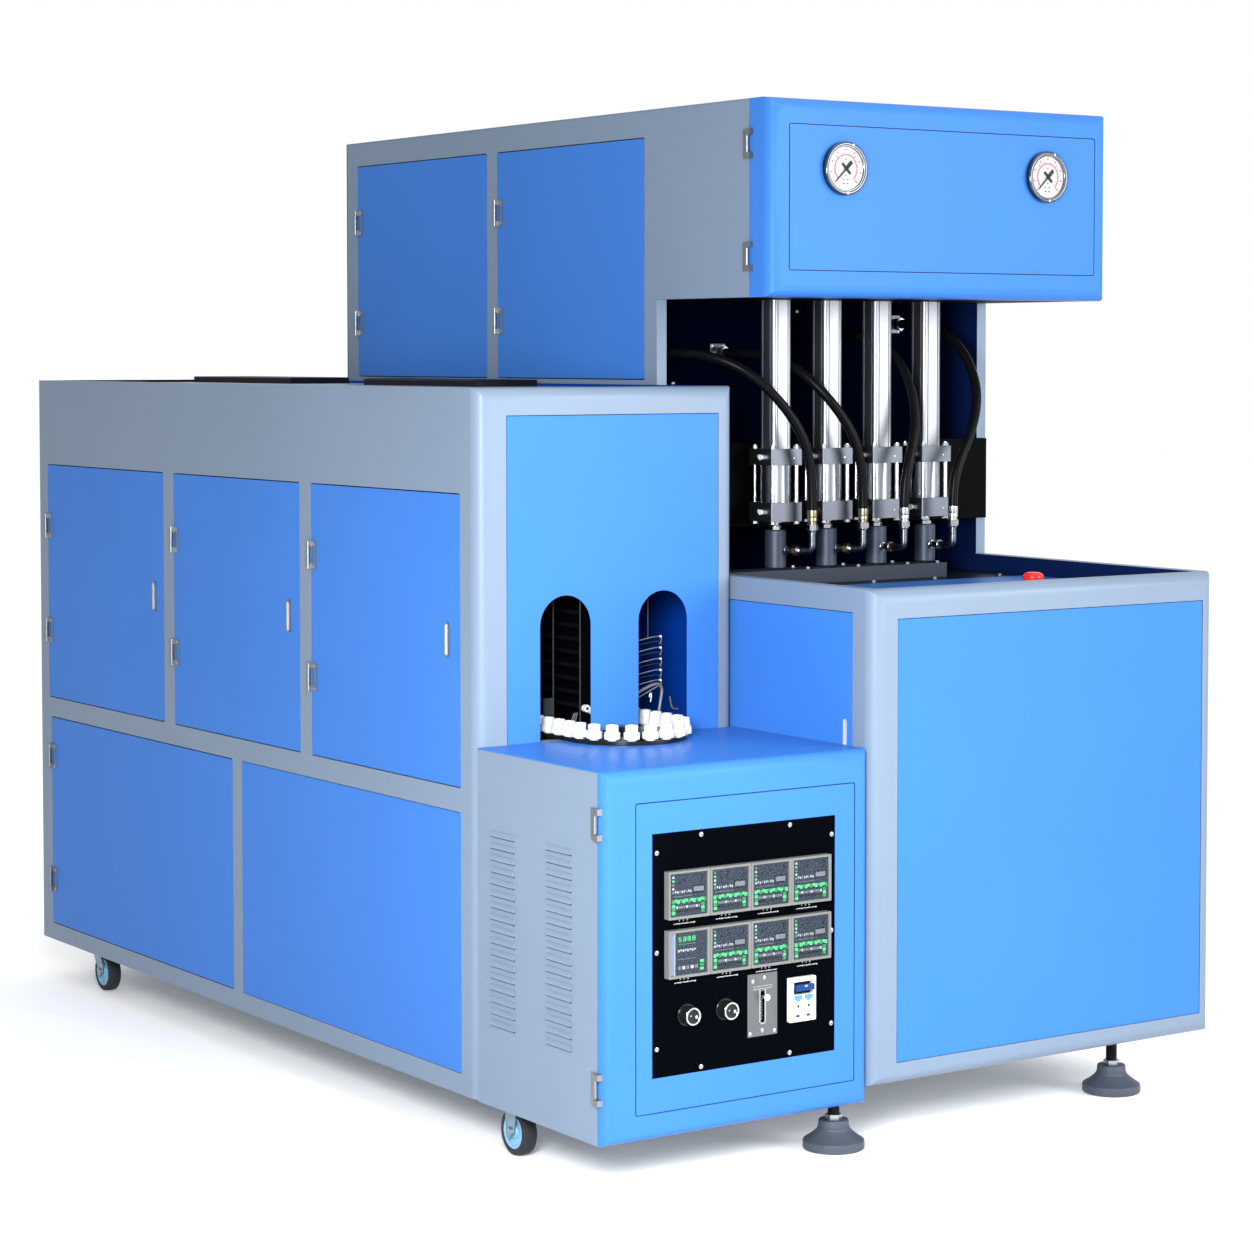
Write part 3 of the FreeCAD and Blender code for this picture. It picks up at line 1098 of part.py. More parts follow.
# Each hose: points by hand from its ferrule up to the port it goes into
HOSE_ROUTES = (
    ((913.5, 122, 1229), (913.5, 122, 1272), (907, 121, 1335), (884, 122, 1395), (845, 130, 1452),
     (797, 147, 1503), (746, 178, 1543), (704, 225, 1562), (684, 285, 1566), (680, 345, 1566),
     (680, 385, 1566)),
    ((1052.1, 122, 1229), (1052.1, 122, 1272), (1044, 119, 1330), (1026, 121, 1385), (997, 128, 1432),
     (962, 142, 1478), (932, 175, 1520), (912, 222, 1548), (893, 275, 1562), (874, 330, 1566),
     (874, 385, 1566)),
    ((1150.7, 103, 1229), (1150.7, 103, 1272), (1163, 103, 1325), (1184, 111, 1378), (1200, 126, 1430),
     (1204, 144, 1482), (1202, 172, 1535), (1196, 212, 1575), (1184, 262, 1598), (1174, 322, 1606),
     (1174, 385, 1606)),
    ((1289.3, 103, 1229), (1289.3, 103, 1272), (1305, 103, 1324), (1338, 110, 1374), (1371, 124, 1424),
     (1392, 142, 1482), (1395, 170, 1540), (1388, 210, 1590), (1378, 262, 1620), (1370, 322, 1632),
     (1370, 385, 1632)),
)
MANIFOLD_PORT = 13.0
MANIFOLD_PORT_LENGTH = 30.0
MANIFOLD_DEPTH = 10.0


def hose(points):
    """A round hose along straight runs joined by tangent arcs."""
    route = [V(*p) for p in points]
    edges = []
    last = route[0]
    for before, here, after in zip(route, route[1:], route[2:]):
        incoming = here - before
        outgoing = after - here
        turn = incoming.getAngle(outgoing)
        cut_back = 0.45 * min(incoming.Length, outgoing.Length)
        radius = cut_back / math.tan(turn / 2)
        radii.append(radius)
        start = here - V(incoming).normalize() * cut_back
        end = here + V(outgoing).normalize() * cut_back
        inward = (V(outgoing).normalize() - V(incoming).normalize()).normalize()
        to_centre = math.hypot(radius, cut_back)
        middle = here + inward * (to_centre - radius)
        edges.append(Part.LineSegment(last, start).toShape())
        edges.append(Part.Arc(start, middle, end).toShape())
        last = end
    edges.append(Part.LineSegment(last, route[-1]).toShape())
    path = Part.Wire(edges)
    ring = Part.Wire(Part.Circle(route[0], route[1] - route[0], HOSE_RADIUS).toShape())
    tube = path.makePipeShell([ring], True, False)
    share = tube.Volume / (math.pi * HOSE_RADIUS ** 2 * path.Length)
    print(f"hose length {path.Length:.1f} mm, volume against section times length {share:.4f}")
    return tube


radii = []


def air_hoses():
    """The four high-pressure hoses from the manifold to the nozzles."""
    hoses = together([hose(route) for route in HOSE_ROUTES])
    print(f"hose bends from {min(radii):.0f} to {max(radii):.0f} mm")
    return hoses


def air_manifold():
    """Four ports on the chamber's rear wall, each a hexagonal base and a round socket."""
    ports = []
    for route in HOSE_ROUTES:
        x, y, z = route[-1]
        socket = bar(MANIFOLD_PORT, (x, y, z), (x, CHAMBER_BACK - MANIFOLD_DEPTH, z))
        base = block((x - 1.6 * MANIFOLD_PORT, x + 1.6 * MANIFOLD_PORT),
                     (CHAMBER_BACK - MANIFOLD_DEPTH, CHAMBER_BACK),
                     (z - 1.6 * MANIFOLD_PORT, z + 1.6 * MANIFOLD_PORT))
        ports.append(socket.fuse(base))
    return together(ports)


# ---------------------------------------------------------------- stop button
STOP_X = 1144.0
STOP_Y = -329.0
STOP_BUTTON_RADIUS = 21.5
STOP_TOP = 1113.0
STOP_STEM_RADIUS = 11.0
STOP_TRAVEL = 5.0


def e_stop_collar():
    """The collar on the table that the stop button slides in."""
    collar = bar(STOP_COLLAR_RADIUS, (STOP_X, STOP_Y, TABLE_TOP), (STOP_X, STOP_Y, STOP_COLLAR_TOP))
    bore = bar(STOP_STEM_RADIUS + SHAFT_CLEARANCE, (STOP_X, STOP_Y, TABLE_TOP + 2),
               (STOP_X, STOP_Y, STOP_COLLAR_TOP + 1))
    return collar.cut(bore)


STOP_COLLAR_RADIUS = 19.0
STOP_COLLAR_TOP = 1087.0


def e_stop_button():
    """The mushroom head on its stem."""
    low = STOP_COLLAR_TOP + STOP_TRAVEL + 1
    height = STOP_TOP - low
    profile = [(0, 0), (0.8 * STOP_BUTTON_RADIUS, 0), (STOP_BUTTON_RADIUS, 0.35 * height),
               (STOP_BUTTON_RADIUS, 0.7 * height), (0.82 * STOP_BUTTON_RADIUS, height), (0, height)]
    head = turned(profile, (STOP_X, STOP_Y, low))
    stem = bar(STOP_STEM_RADIUS, (STOP_X, STOP_Y, STOP_COLLAR_TOP - 12), (STOP_X, STOP_Y, low))
    return head.fuse(stem).removeSplitter()


# ---------------------------------------------------------------- feet and casters
FOOT_PAD_RADIUS = 61.0
FOOT_RIM = 18.0
FOOT_CONE = 40.0
FOOT_COLLAR_RADIUS = 30.0
FOOT_COLLAR_TOP = 58.0
FOOT_STEM_RADIUS = 12.0
FOOT_PLACES = ((590.0, -375.0, OVEN_FLOOR), (1365.0, -336.0, BASE_BOTTOM),
               (1365.0, 1480.0, BASE_BOTTOM), (710.0, 1480.0, BASE_BOTTOM))


def levelling_feet():
    """Rubber pads with a cone and collar, each on a steel stem screwed into the floor above."""
    feet = []
    profile = [(0, 0), (FOOT_PAD_RADIUS - 2, 0), (FOOT_PAD_RADIUS, 2), (FOOT_PAD_RADIUS, FOOT_RIM),
               (FOOT_COLLAR_RADIUS + 2, FOOT_CONE), (FOOT_COLLAR_RADIUS, FOOT_COLLAR_TOP - 2),
               (FOOT_COLLAR_RADIUS - 3, FOOT_COLLAR_TOP), (0, FOOT_COLLAR_TOP)]
    for x, y, floor in FOOT_PLACES:
        feet.append(turned(profile, (x, y, 0)))
        feet.append(bar(FOOT_STEM_RADIUS, (x, y, FOOT_COLLAR_TOP), (x, y, floor)))
    return together(feet)


CASTER_X = (50.0, 570.0)
CASTER_FRONT_Y = -70.0
CASTER_REAR_Y = 1864.0
CASTER_WHEEL_RADIUS = 47.0
CASTER_WHEEL_WIDTH = 32.0
CASTER_HUB_RADIUS = 29.0
CASTER_AXLE_RADIUS = 6.0
CASTER_PLATE = 5.0
CASTER_PLATE_SIZE = 80.0
CASTER_FORK_WALL = 3.0
CASTER_FORK_GAP = 2.0
CASTER_TRAIL = 26.0
CASTER_HEAD_HEIGHT = 6.0
CASTER_HEAD_RADIUS = 22.0
CASTER_CROWN = 25.0
CASTER_CHEEK = 13.0
CASTER_BOLT_HEAD = 4.0
RACE_GAP = 0.2


def caster_fork(x, y, wheel_y, top):
    """A folded fork: two tapering cheeks under a top plate, and the axle bolt."""
    half = CASTER_WHEEL_WIDTH / 2 + CASTER_FORK_GAP
    axle_z = CASTER_WHEEL_RADIUS
    cheeks = []
    for side in (-1, 1):
        inner = x + side * half
        outer = inner + side * CASTER_FORK_WALL
        low_x = min(inner, outer)
        outline = [V(low_x, y - CASTER_CROWN, top + CASTER_FORK_WALL),
                   V(low_x, y + CASTER_CROWN, top + CASTER_FORK_WALL),
                   V(low_x, wheel_y + CASTER_CHEEK, axle_z), V(low_x, wheel_y, axle_z - CASTER_CHEEK),
                   V(low_x, wheel_y - CASTER_CHEEK, axle_z)]
        cheeks.append(Part.Face(Part.makePolygon(outline + outline[:1])).extrude(
            V(CASTER_FORK_WALL, 0, 0)))
        cheeks.append(bar(1.7 * CASTER_AXLE_RADIUS, (outer, wheel_y, axle_z),
                          (outer + side * CASTER_BOLT_HEAD, wheel_y, axle_z)))
    crown = block((x - half - CASTER_FORK_WALL, x + half + CASTER_FORK_WALL),
                  (y - CASTER_CROWN, y + CASTER_CROWN), (top, top + CASTER_FORK_WALL))
    axle = bar(CASTER_AXLE_RADIUS, (x - half, wheel_y, axle_z), (x + half, wheel_y, axle_z))
    return crown.fuse(cheeks + [axle]).removeSplitter()


def caster_wheel(x, y):
    """A wheel with a rounded tyre and a bored hub."""
    half = CASTER_WHEEL_WIDTH / 2
    r = CASTER_WHEEL_RADIUS
    hub = CASTER_HUB_RADIUS
    bore = CASTER_AXLE_RADIUS + ROD_CLEARANCE
    profile = [(bore, -half), (hub, -half + 3), (hub, -half), (r - 5, -half), (r, -half + 5),
               (r, half - 5), (r - 5, half), (hub, half), (hub, half - 3), (bore, half)]
    return turned(profile, (x, y, r), V(1, 0, 0))


def fork_top():
    """The underside of a fork's crown."""
    return OVEN_FLOOR - CASTER_PLATE - CASTER_HEAD_HEIGHT - CASTER_FORK_WALL


def caster_mounts():
    """Top plates under the floor; the front pair has fixed forks, the rear pair swivel races."""
    mounts = []
    under = OVEN_FLOOR - CASTER_PLATE
    crown = fork_top() + CASTER_FORK_WALL
    for x in CASTER_X:
        for y in (CASTER_FRONT_Y, CASTER_REAR_Y):
            plate = block(grown((x, x), CASTER_PLATE_SIZE / 2), grown((y, y), CASTER_PLATE_SIZE / 2),
                          (under, OVEN_FLOOR))
            if y == CASTER_FRONT_Y:
                neck = bar(CASTER_HEAD_RADIUS, (x, y, crown), (x, y, under))
                mounts.append(plate.fuse([neck, caster_fork(x, y, y, fork_top())]).removeSplitter())
            else:
                race = bar(CASTER_HEAD_RADIUS, (x, y, crown + CASTER_HEAD_HEIGHT / 2), (x, y, under))
                mounts.append(plate.fuse(race).removeSplitter())
    return together(mounts)


def swivel_fork(x):
    """A rear fork with its half of the swivel race and its wheel trailing behind."""
    crown = fork_top() + CASTER_FORK_WALL
    race = bar(CASTER_HEAD_RADIUS, (x, CASTER_REAR_Y, crown),
               (x, CASTER_REAR_Y, crown + CASTER_HEAD_HEIGHT / 2 - RACE_GAP))
    return caster_fork(x, CASTER_REAR_Y, CASTER_REAR_Y - CASTER_TRAIL, fork_top()).fuse(race).removeSplitter()


def cabinet_hinges():
    """All the fixed hinge leaves with their pins."""
    hinges = [side_hinge(LEFT_FACE, opening[1], z)
              for opening in OVEN_OPENINGS.values() for z in OVEN_HINGE_HEIGHTS]
    hinges += [side_hinge(LEFT_FACE, LOWER_DOOR_OPENING[1], z) for z in LOWER_HINGE_HEIGHTS]
    hinges += [side_hinge(BLOW_LEFT, opening[1], z)
               for opening in TOWER_OPENINGS.values() for z in TOWER_HINGE_HEIGHTS]
    hinges += [front_hinge(LEFT_FACE, CONTROL_PIN_Y, z) for z in CONTROL_HINGE_HEIGHTS]
    hinges += [front_hinge(BLOW_LEFT, HEAD_PIN_Y, z) for z in HEAD_HINGE_HEIGHTS]
    return together(hinges)


# ---------------------------------------------------------------- the whole machine
def machine():
    """Every sub-part by its node's name."""
    parts = {
        "oven_frame": oven_frame(),
        "oven_front_panel": oven_front_panel(),
        "oven_rear_panels": oven_rear_panels(),
        "floor_pans": floor_pans(),
        "oven_deck": oven_deck(),
        "oven_top_cover": oven_top_cover(),
        "lower_fixed_panel": lower_fixed_panel(),
        "lamp_bank": lamp_bank(),
        "chain_guide": chain_guide(),
        "preform_holders": preform_holders(),
        "turning_wheel": turning_wheel(),
        "control_box": control_box(),
        "control_shelf": control_shelf(),
        "control_door": control_door(),
        "instrument_plate": instrument_plate(),
        "panel_instruments": together(controllers() + [breaker()]),
        "slider": slider(),
        "breaker_toggle": breaker_toggle(),
        "base_frame": base_frame(),
        "base_front_panel": base_front_panel(),
        "base_side_panel": base_side_panel(),
        "table_top": table_top(),
        "tower_frame": tower_frame(),
        "tower_rear_panels": tower_rear_panels(),
        "tower_top_cover": tower_top_cover(),
        "chamber_panel": chamber_panel(),
        "head_floor": head_floor(),
        "head_door": head_door(),
        "gauge_cases": gauge_cases(),
        "gauge_needle_left": gauge_needle(GAUGE_X[0]),
        "gauge_needle_right": gauge_needle(GAUGE_X[1]),
        "stretch_cylinders": stretch_cylinders(),
        "seal_cylinders": seal_cylinders(),
        "stretch_rods": stretch_rods(),
        "nozzle_bar": nozzle_bar(),
        "cylinder_beam": cylinder_beam(),
        "air_hoses": air_hoses(),
        "air_manifold": air_manifold(),
        "e_stop_button": e_stop_button(),
        "levelling_feet": levelling_feet(),
        "caster_mounts": caster_mounts(),
        "cabinet_hinges": cabinet_hinges(),
        "lower_door": side_door(LEFT_FACE, LOWER_DOOR_OPENING, LOWER_HINGE_HEIGHTS, None),
    }
    for name, opening in OVEN_OPENINGS.items():
        parts[name] = side_door(LEFT_FACE, opening, OVEN_HINGE_HEIGHTS, PULL_Z)
    for name, opening in TOWER_OPENINGS.items():
        parts[name] = side_door(BLOW_LEFT, opening, TOWER_HINGE_HEIGHTS, None)
    for name, x in KNOB_X.items():
        parts[name] = knob(x)
    for k in range(STATIONS):
        parts[f"nozzle_{k + 1}"] = nozzle(k)
    for side, x in zip(("left", "right"), CASTER_X):
        parts[f"caster_fork_{side}"] = swivel_fork(x)
        parts[f"front_wheel_{side}"] = caster_wheel(x, CASTER_FRONT_Y)
        parts[f"rear_wheel_{side}"] = caster_wheel(x, CASTER_REAR_Y - CASTER_TRAIL)
    return parts


def middle_of_footprint():
    """The point on the floor that becomes the origin."""
    left = LEFT_FACE - HINGE_STANDOFF - HINGE_EYE / 2
    front = CONTROL_DOOR_FRONT - KNOB_GAP - KNOB_PROUD - KNOB_POINTER
    return V((left + BLOW_RIGHT) / 2, (front + OVEN_DEPTH) / 2, 0)


os.makedirs("parts", exist_ok=True)
origin = middle_of_footprint()
print(f"origin at {origin.x:.3f} {origin.y:.3f}")
for node, shape in machine().items():
    shape.translate(V(-origin.x, -origin.y, 0))
    shape.exportStep(f"parts/{node}.step")
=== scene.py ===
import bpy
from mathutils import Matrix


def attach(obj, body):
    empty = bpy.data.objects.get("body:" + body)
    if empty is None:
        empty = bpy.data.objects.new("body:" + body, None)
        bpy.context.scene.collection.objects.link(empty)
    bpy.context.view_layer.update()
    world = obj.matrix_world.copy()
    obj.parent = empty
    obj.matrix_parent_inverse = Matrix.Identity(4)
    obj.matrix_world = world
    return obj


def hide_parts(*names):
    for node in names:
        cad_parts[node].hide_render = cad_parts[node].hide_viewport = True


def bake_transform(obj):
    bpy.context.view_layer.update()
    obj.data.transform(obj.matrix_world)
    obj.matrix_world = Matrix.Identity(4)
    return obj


bl_info = {
    "name": "Blow moulding machine",
    "version": (1, 0, 0),
    "blender": (4, 5, 0),
    "location": "View3D > Sidebar > Blow Moulder",
    "description": "Finishes a semi-automatic stretch blow moulding machine with its preform preheater",
    "category": "Object",
}

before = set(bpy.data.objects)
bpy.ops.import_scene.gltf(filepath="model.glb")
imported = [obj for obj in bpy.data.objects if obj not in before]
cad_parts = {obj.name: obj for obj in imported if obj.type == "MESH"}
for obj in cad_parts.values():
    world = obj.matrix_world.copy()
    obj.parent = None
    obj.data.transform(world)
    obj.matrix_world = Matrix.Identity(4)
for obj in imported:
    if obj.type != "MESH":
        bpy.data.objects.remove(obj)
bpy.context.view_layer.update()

import math
from functools import partial

import bmesh
import bpy
from bpy.props import FloatProperty, FloatVectorProperty, IntProperty, PointerProperty
from bpy.types import Operator, Panel, PropertyGroup
from mathutils import Matrix, Vector

MM = 0.001
JOIN = 1e-6
SHARP = math.radians(35)
UP, FRONT, BACK, LEFT = (0, 0, 1), (0, -1, 0), (0, 1, 0), (-1, 0, 0)
# The model's origin, counted in millimetres from the preheater's left front corner
ORIGIN = Vector((763.2, 817.6, 0.0))

# The machine's own dimensions, in millimetres, as its solids have them
OVEN_LEFT, OVEN_TOP, OVEN_FLOOR = 0.0, 1498.0, 122.0
BLOW_LEFT, BASE_BOTTOM, HEAD_FRONT = 620.5, 128.0, -120.7
CONTROL_FRONT, DECK = -450.5, 795.6
TABLE, NOZZLE_BAR_TOP, CHAMBER_BACK = 1067.0, 1099.0, 425.0
STATION_X = tuple(873.5 + 138.6 * k for k in range(4))
STATION_Y = 200.0


# ------------------------------------------------------------------ places and mesh helpers
def at(x, y, z):
    """A point counted in millimetres from the preheater's left front corner, in metres."""
    return (Vector((x, y, z)) - ORIGIN) * MM


def in_mm(point):
    """A point in metres, counted in millimetres from the preheater's left front corner."""
    return point / MM + ORIGIN


def faces_of(verts):
    """The faces that touch some points."""
    return {f for v in verts for f in v.link_faces}


def in_slot(verts, slot):
    """Gives the faces on some points one material slot, and returns the points."""
    for face in faces_of(verts):
        face.material_index = slot
    return verts


def new_points(bm, before, slot):
    """The points that weren't there before, joined where they meet, with their faces in one slot."""
    verts = [v for v in bm.verts if v not in before]
    bmesh.ops.remove_doubles(bm, verts=verts, dist=JOIN)
    return in_slot([v for v in verts if v.is_valid], slot)


def block(bm, x, y, z, slot=0):
    """A box between three (low, high) pairs, in millimetres."""
    low, high = at(x[0], y[0], z[0]), at(x[1], y[1], z[1])
    verts = bmesh.ops.create_cube(bm, size=1.0)["verts"]
    bmesh.ops.scale(bm, vec=high - low, verts=verts)
    bmesh.ops.translate(bm, vec=(low + high) / 2, verts=verts)
    return in_slot(verts, slot)


def turn_to(direction):
    """The rotation that takes Z to a direction."""
    return Vector(direction).normalized().to_track_quat("Z", "Y").to_matrix().to_4x4()


def rod(bm, radius, start, end, sides=24, slot=0):
    """A round rod between two points in millimetres."""
    a, b = at(*start), at(*end)
    verts = bmesh.ops.create_cone(bm, cap_ends=True, segments=sides, radius1=radius * MM,
                                  radius2=radius * MM, depth=(b - a).length)["verts"]
    bmesh.ops.transform(bm, matrix=Matrix.Translation((a + b) / 2) @ turn_to(b - a), verts=verts)
    return in_slot(verts, slot)


def hexagon(bm, across_flats, base, way, height, slot=0):
    """A hexagonal nut or head that stands on base."""
    start = Vector(base)
    rod(bm, across_flats / math.sqrt(3), start, start + Vector(way) * height, 6, slot)


def lathe(bm, profile, base, way=UP, sides=48, slot=0, ring=False):
    """Turns (radius, height) points in millimetres round an axis through base."""
    before = set(bm.verts)
    line = [bm.verts.new(Vector((r, 0, h)) * MM) for r, h in profile]
    pairs = list(zip(line, line[1:])) + ([(line[-1], line[0])] if ring else [])
    edges = [bm.edges.new(pair) for pair in pairs]
    bmesh.ops.spin(bm, geom=line + edges, cent=(0, 0, 0), axis=UP, angle=math.tau, steps=sides,
                   use_merge=True)
    bmesh.ops.transform(bm, matrix=Matrix.Translation(at(*base)) @ turn_to(way),
                        verts=new_points(bm, before, slot))


def curve_mesh(points, radius, resolution=10, round_steps=6):
    """The smooth NURBS curve on some points as a mesh: a tube, or its centreline if radius is 0."""
    curve = bpy.data.curves.new("route", "CURVE")
    curve.dimensions = "3D"
    curve.resolution_u = resolution
    curve.bevel_depth = radius
    curve.bevel_resolution = round_steps
    curve.use_fill_caps = radius > 0
    spline = curve.splines.new("NURBS")
    spline.points.add(len(points) - 1)
    for target, point in zip(spline.points, points):
        target.co = (*point, 1)
    spline.order_u = 3
    spline.use_endpoint_u = True
    holder = bpy.data.objects.new("route", curve)
    mesh = bpy.data.meshes.new_from_object(holder)
    bpy.data.objects.remove(holder)
    bpy.data.curves.remove(curve)
    return mesh


def sweep(bm, points, radius, slot=0, resolution=6, round_steps=2):
    """A round wire, pipe or tube along a smooth curve on points in millimetres."""
    mesh = curve_mesh([at(*p) for p in points], radius * MM, resolution, round_steps)
    before = set(bm.verts)
    bm.from_mesh(mesh)
    bpy.data.meshes.remove(mesh)
    new_points(bm, before, slot)


def is_sharp(edge):
    """Whether the two faces of an edge meet at a sharp angle."""
    return len(edge.link_faces) == 2 and edge.calc_face_angle(0) > SHARP


def bevel(bm, edges, width, segments=2, clamp=False):
    """Rounds some edges by a width in millimetres."""
    bmesh.ops.bevel(bm, geom=list(edges), offset=width * MM, offset_type="OFFSET", segments=segments,
                    profile=0.5, affect="EDGES", material=-1, clamp_overlap=clamp)


def ease(bm, verts, width, segments=2):
    """Rounds the sharp edges of one part of a piece."""
    edges = {e for f in faces_of(verts) for e in f.edges}
    bevel(bm, [e for e in edges if is_sharp(e)], width, segments, True)


def sink(bm, face, depth, slot=0):
    """Pushes a face that looks to the front back into its block, and gives its floor a slot."""
    floor = bmesh.ops.extrude_discrete_faces(bm, faces=[face])["faces"][0]
    bmesh.ops.translate(bm, vec=Vector((0, depth, 0)) * MM, verts=floor.verts)
    floor.material_index = slot


def front_mark(bm, x, z, width, height, y, proud=0.3, slot=0):
    """A flat mark on a surface that faces the front, round a middle point."""
    block(bm, (x - width / 2, x + width / 2), (y - proud, y), (z - height / 2, z + height / 2), slot)


def in_scene(name, data):
    """A new object in the scene."""
    obj = bpy.data.objects.new(name, data)
    bpy.context.scene.collection.objects.link(obj)
    return obj


def new_object(name, bm, finishes, smooth=SHARP):
    """An object made of a bmesh, shaded smooth between the edges that are sharper than an angle."""
    bmesh.ops.recalc_face_normals(bm, faces=bm.faces)
    bm.normal_update()
    for face in bm.faces:
        face.smooth = True
    for edge in bm.edges:
        edge.smooth = len(edge.link_faces) == 2 and edge.calc_face_angle(math.pi) < smooth
    mesh = bpy.data.meshes.new(name)
    bm.to_mesh(mesh)
    bm.free()
    for material in finishes:
        mesh.materials.append(finish(material))
    return in_scene(name, mesh)


def piece(name, bm, finishes, body="machine", node_name=None):
    """Turns a bmesh into a finished piece that rides on a body, and may stand for a CAD node."""
    obj = new_object(name, bm, finishes)
    obj.modifiers.new("even shading", "WEIGHTED_NORMAL").keep_sharp = True
    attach(obj, body)
    if node_name:
        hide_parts(node_name)


def refined(node_name, finishes, body="machine", paint=None, edge=0.0, least_area=0.004):
    """A copy of a CAD node with merged faces, eased edges round its large faces, and paint by place."""
    bm = bmesh.new()
    bm.from_mesh(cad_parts[node_name].data)
    bmesh.ops.remove_doubles(bm, verts=bm.verts, dist=JOIN)
    bmesh.ops.dissolve_limit(bm, angle_limit=math.radians(0.6), verts=bm.verts, edges=bm.edges)
    for face in bm.faces:
        face.material_index = int(paint(in_mm(face.calc_center_median()), face.normal)) if paint else 0
    if edge:
        bevel(bm, [e for e in bm.edges if is_sharp(e) and e.is_convex
                   and max(f.calc_area() for f in e.link_faces) > least_area], edge)
    piece(node_name + "_finish", bm, finishes, body, node_name)


# ------------------------------------------------------------------ materials
def node(tree, kind, inputs=None, **settings):
    """Adds a shader node, with its settings and input values or links."""
    made = tree.nodes.new(kind)
    for key, value in settings.items():
        setattr(made, key, value)
    for key, value in (inputs or {}).items():
        if isinstance(value, bpy.types.NodeSocket):
            tree.links.new(value, made.inputs[key])
        else:
            made.inputs[key].default_value = value
    return made


def object_noise(tree, scale, detail, stretch=(1, 1, 1), roughness=0.5):
    """Noise in the piece's own coordinates, with a stretch along each axis."""
    where = node(tree, "ShaderNodeTexCoord").outputs["Object"]
    placed = node(tree, "ShaderNodeMapping", {"Vector": where, "Scale": stretch}).outputs["Vector"]
    settings = {"Vector": placed, "Scale": scale, "Detail": detail, "Roughness": roughness}
    return node(tree, "ShaderNodeTexNoise", settings).outputs["Fac"]


def two_tones(tree, factor, first, second):
    """A colour between two tones."""
    mix = node(tree, "ShaderNodeMix", {"Factor": factor}, data_type="RGBA")
    mix.inputs["A"].default_value = (*first[:3], 1)
    mix.inputs["B"].default_value = (*second[:3], 1)
    return mix.outputs["Result"]


def shade(colour, amount):
    """A colour made lighter or darker."""
    return tuple(min(1.0, c * amount) for c in colour[:3])


def surface(name, colour, tone, rough, bumps, values):
    """A node material in the piece's own coordinates.

    Its tone and roughness run from low to high along a noise, each given as (noise, low, high). Its bumps
    are (noise, strength, depth), and the values go to its shader as they are.
    """
    material = bpy.data.materials.new(name)
    material.use_nodes = True
    tree = material.node_tree
    shader = tree.nodes["Principled BSDF"]
    noises = {}
    for part in (tone, rough, bumps):
        if part and part[0] not in noises:
            noises[part[0]] = object_noise(tree, *part[0])
    if tone:
        along, low, high = tone
        base = two_tones(tree, noises[along], shade(colour, low), shade(colour, high))
        tree.links.new(base, shader.inputs["Base Color"])
        if "Emission Strength" in values:
            tree.links.new(base, shader.inputs["Emission Color"])
    if rough:
        along, low, high = rough
        spread = node(tree, "ShaderNodeMapRange", {"Value": noises[along], "To Min": low, "To Max": high})
        tree.links.new(spread.outputs["Result"], shader.inputs["Roughness"])
    if bumps:
        along, strength, depth = bumps
        raised = node(tree, "ShaderNodeBump",
                      {"Height": noises[along], "Strength": strength, "Distance": depth})
        tree.links.new(raised.outputs["Normal"], shader.inputs["Normal"])
    for key, value in values.items():
        shader.inputs[key].default_value = value
    return material


def powder_coat(name, colour, roughness, shine=0.25):
    """Baked powder coat: fine orange peel, faint clouding and a soft gloss."""
    cloud, speck, peel = (2.2, 3.0), (1900.0, 1.0), (520.0, 2.0)
    return surface(name, colour, (cloud, 0.93, 1.07), (speck, roughness - 0.05, roughness + 0.07),
                   (peel, 0.10, 0.0004), {"Specular IOR Level": shine})


def brushed(name, colour, stretch, roughness, metallic, strength, scale):
    """Brushed, drawn or cast metal, with streaks where its grain is stretched along the height."""
    streak = (scale, 4.0, (1, 1, stretch), 0.6)
    return surface(name, colour, (streak, 0.78, 1.12), (streak, roughness - 0.1, roughness + 0.14),
                   (streak, strength, 0.0002), {"Metallic": metallic})


def polished(name, colour, roughness):
    """Plated or polished metal with faint smears."""
    smear = (60.0, 3.0)
    return surface(name, colour, (smear, 0.9, 1.0), (smear, roughness, roughness + 0.12), None,
                   {"Metallic": 1.0})


def moulded(name, colour, roughness, grain=700.0, strength=0.12, shine=0.3):
    """Moulded plastic with a fine skin texture."""
    dust, skin = (9.0, 3.0), (grain, 2.0)
    return surface(name, colour, (dust, 0.9, 1.1), (skin, roughness - 0.05, roughness + 0.08),
                   (skin, strength, 0.0003), {"Specular IOR Level": shine})


def glowing(name, colour, strength):
    """A lit display segment or lamp."""
    ripple = (600.0, 1.0)
    return surface(name, colour, (ripple, 0.8, 1.0), None, None,
                   {"Emission Strength": strength, "Roughness": 0.4})


def clear_cover(name, colour, alpha):
    """A clear plastic cover."""
    smear = (40.0, 3.0)
    return surface(name, colour, None, (smear, 0.04, 0.12), None,
                   {"Base Color": (*colour, 1), "Alpha": alpha, "Specular IOR Level": 0.08})


COLOUR = {"subtype": "COLOR", "min": 0, "max": 1}


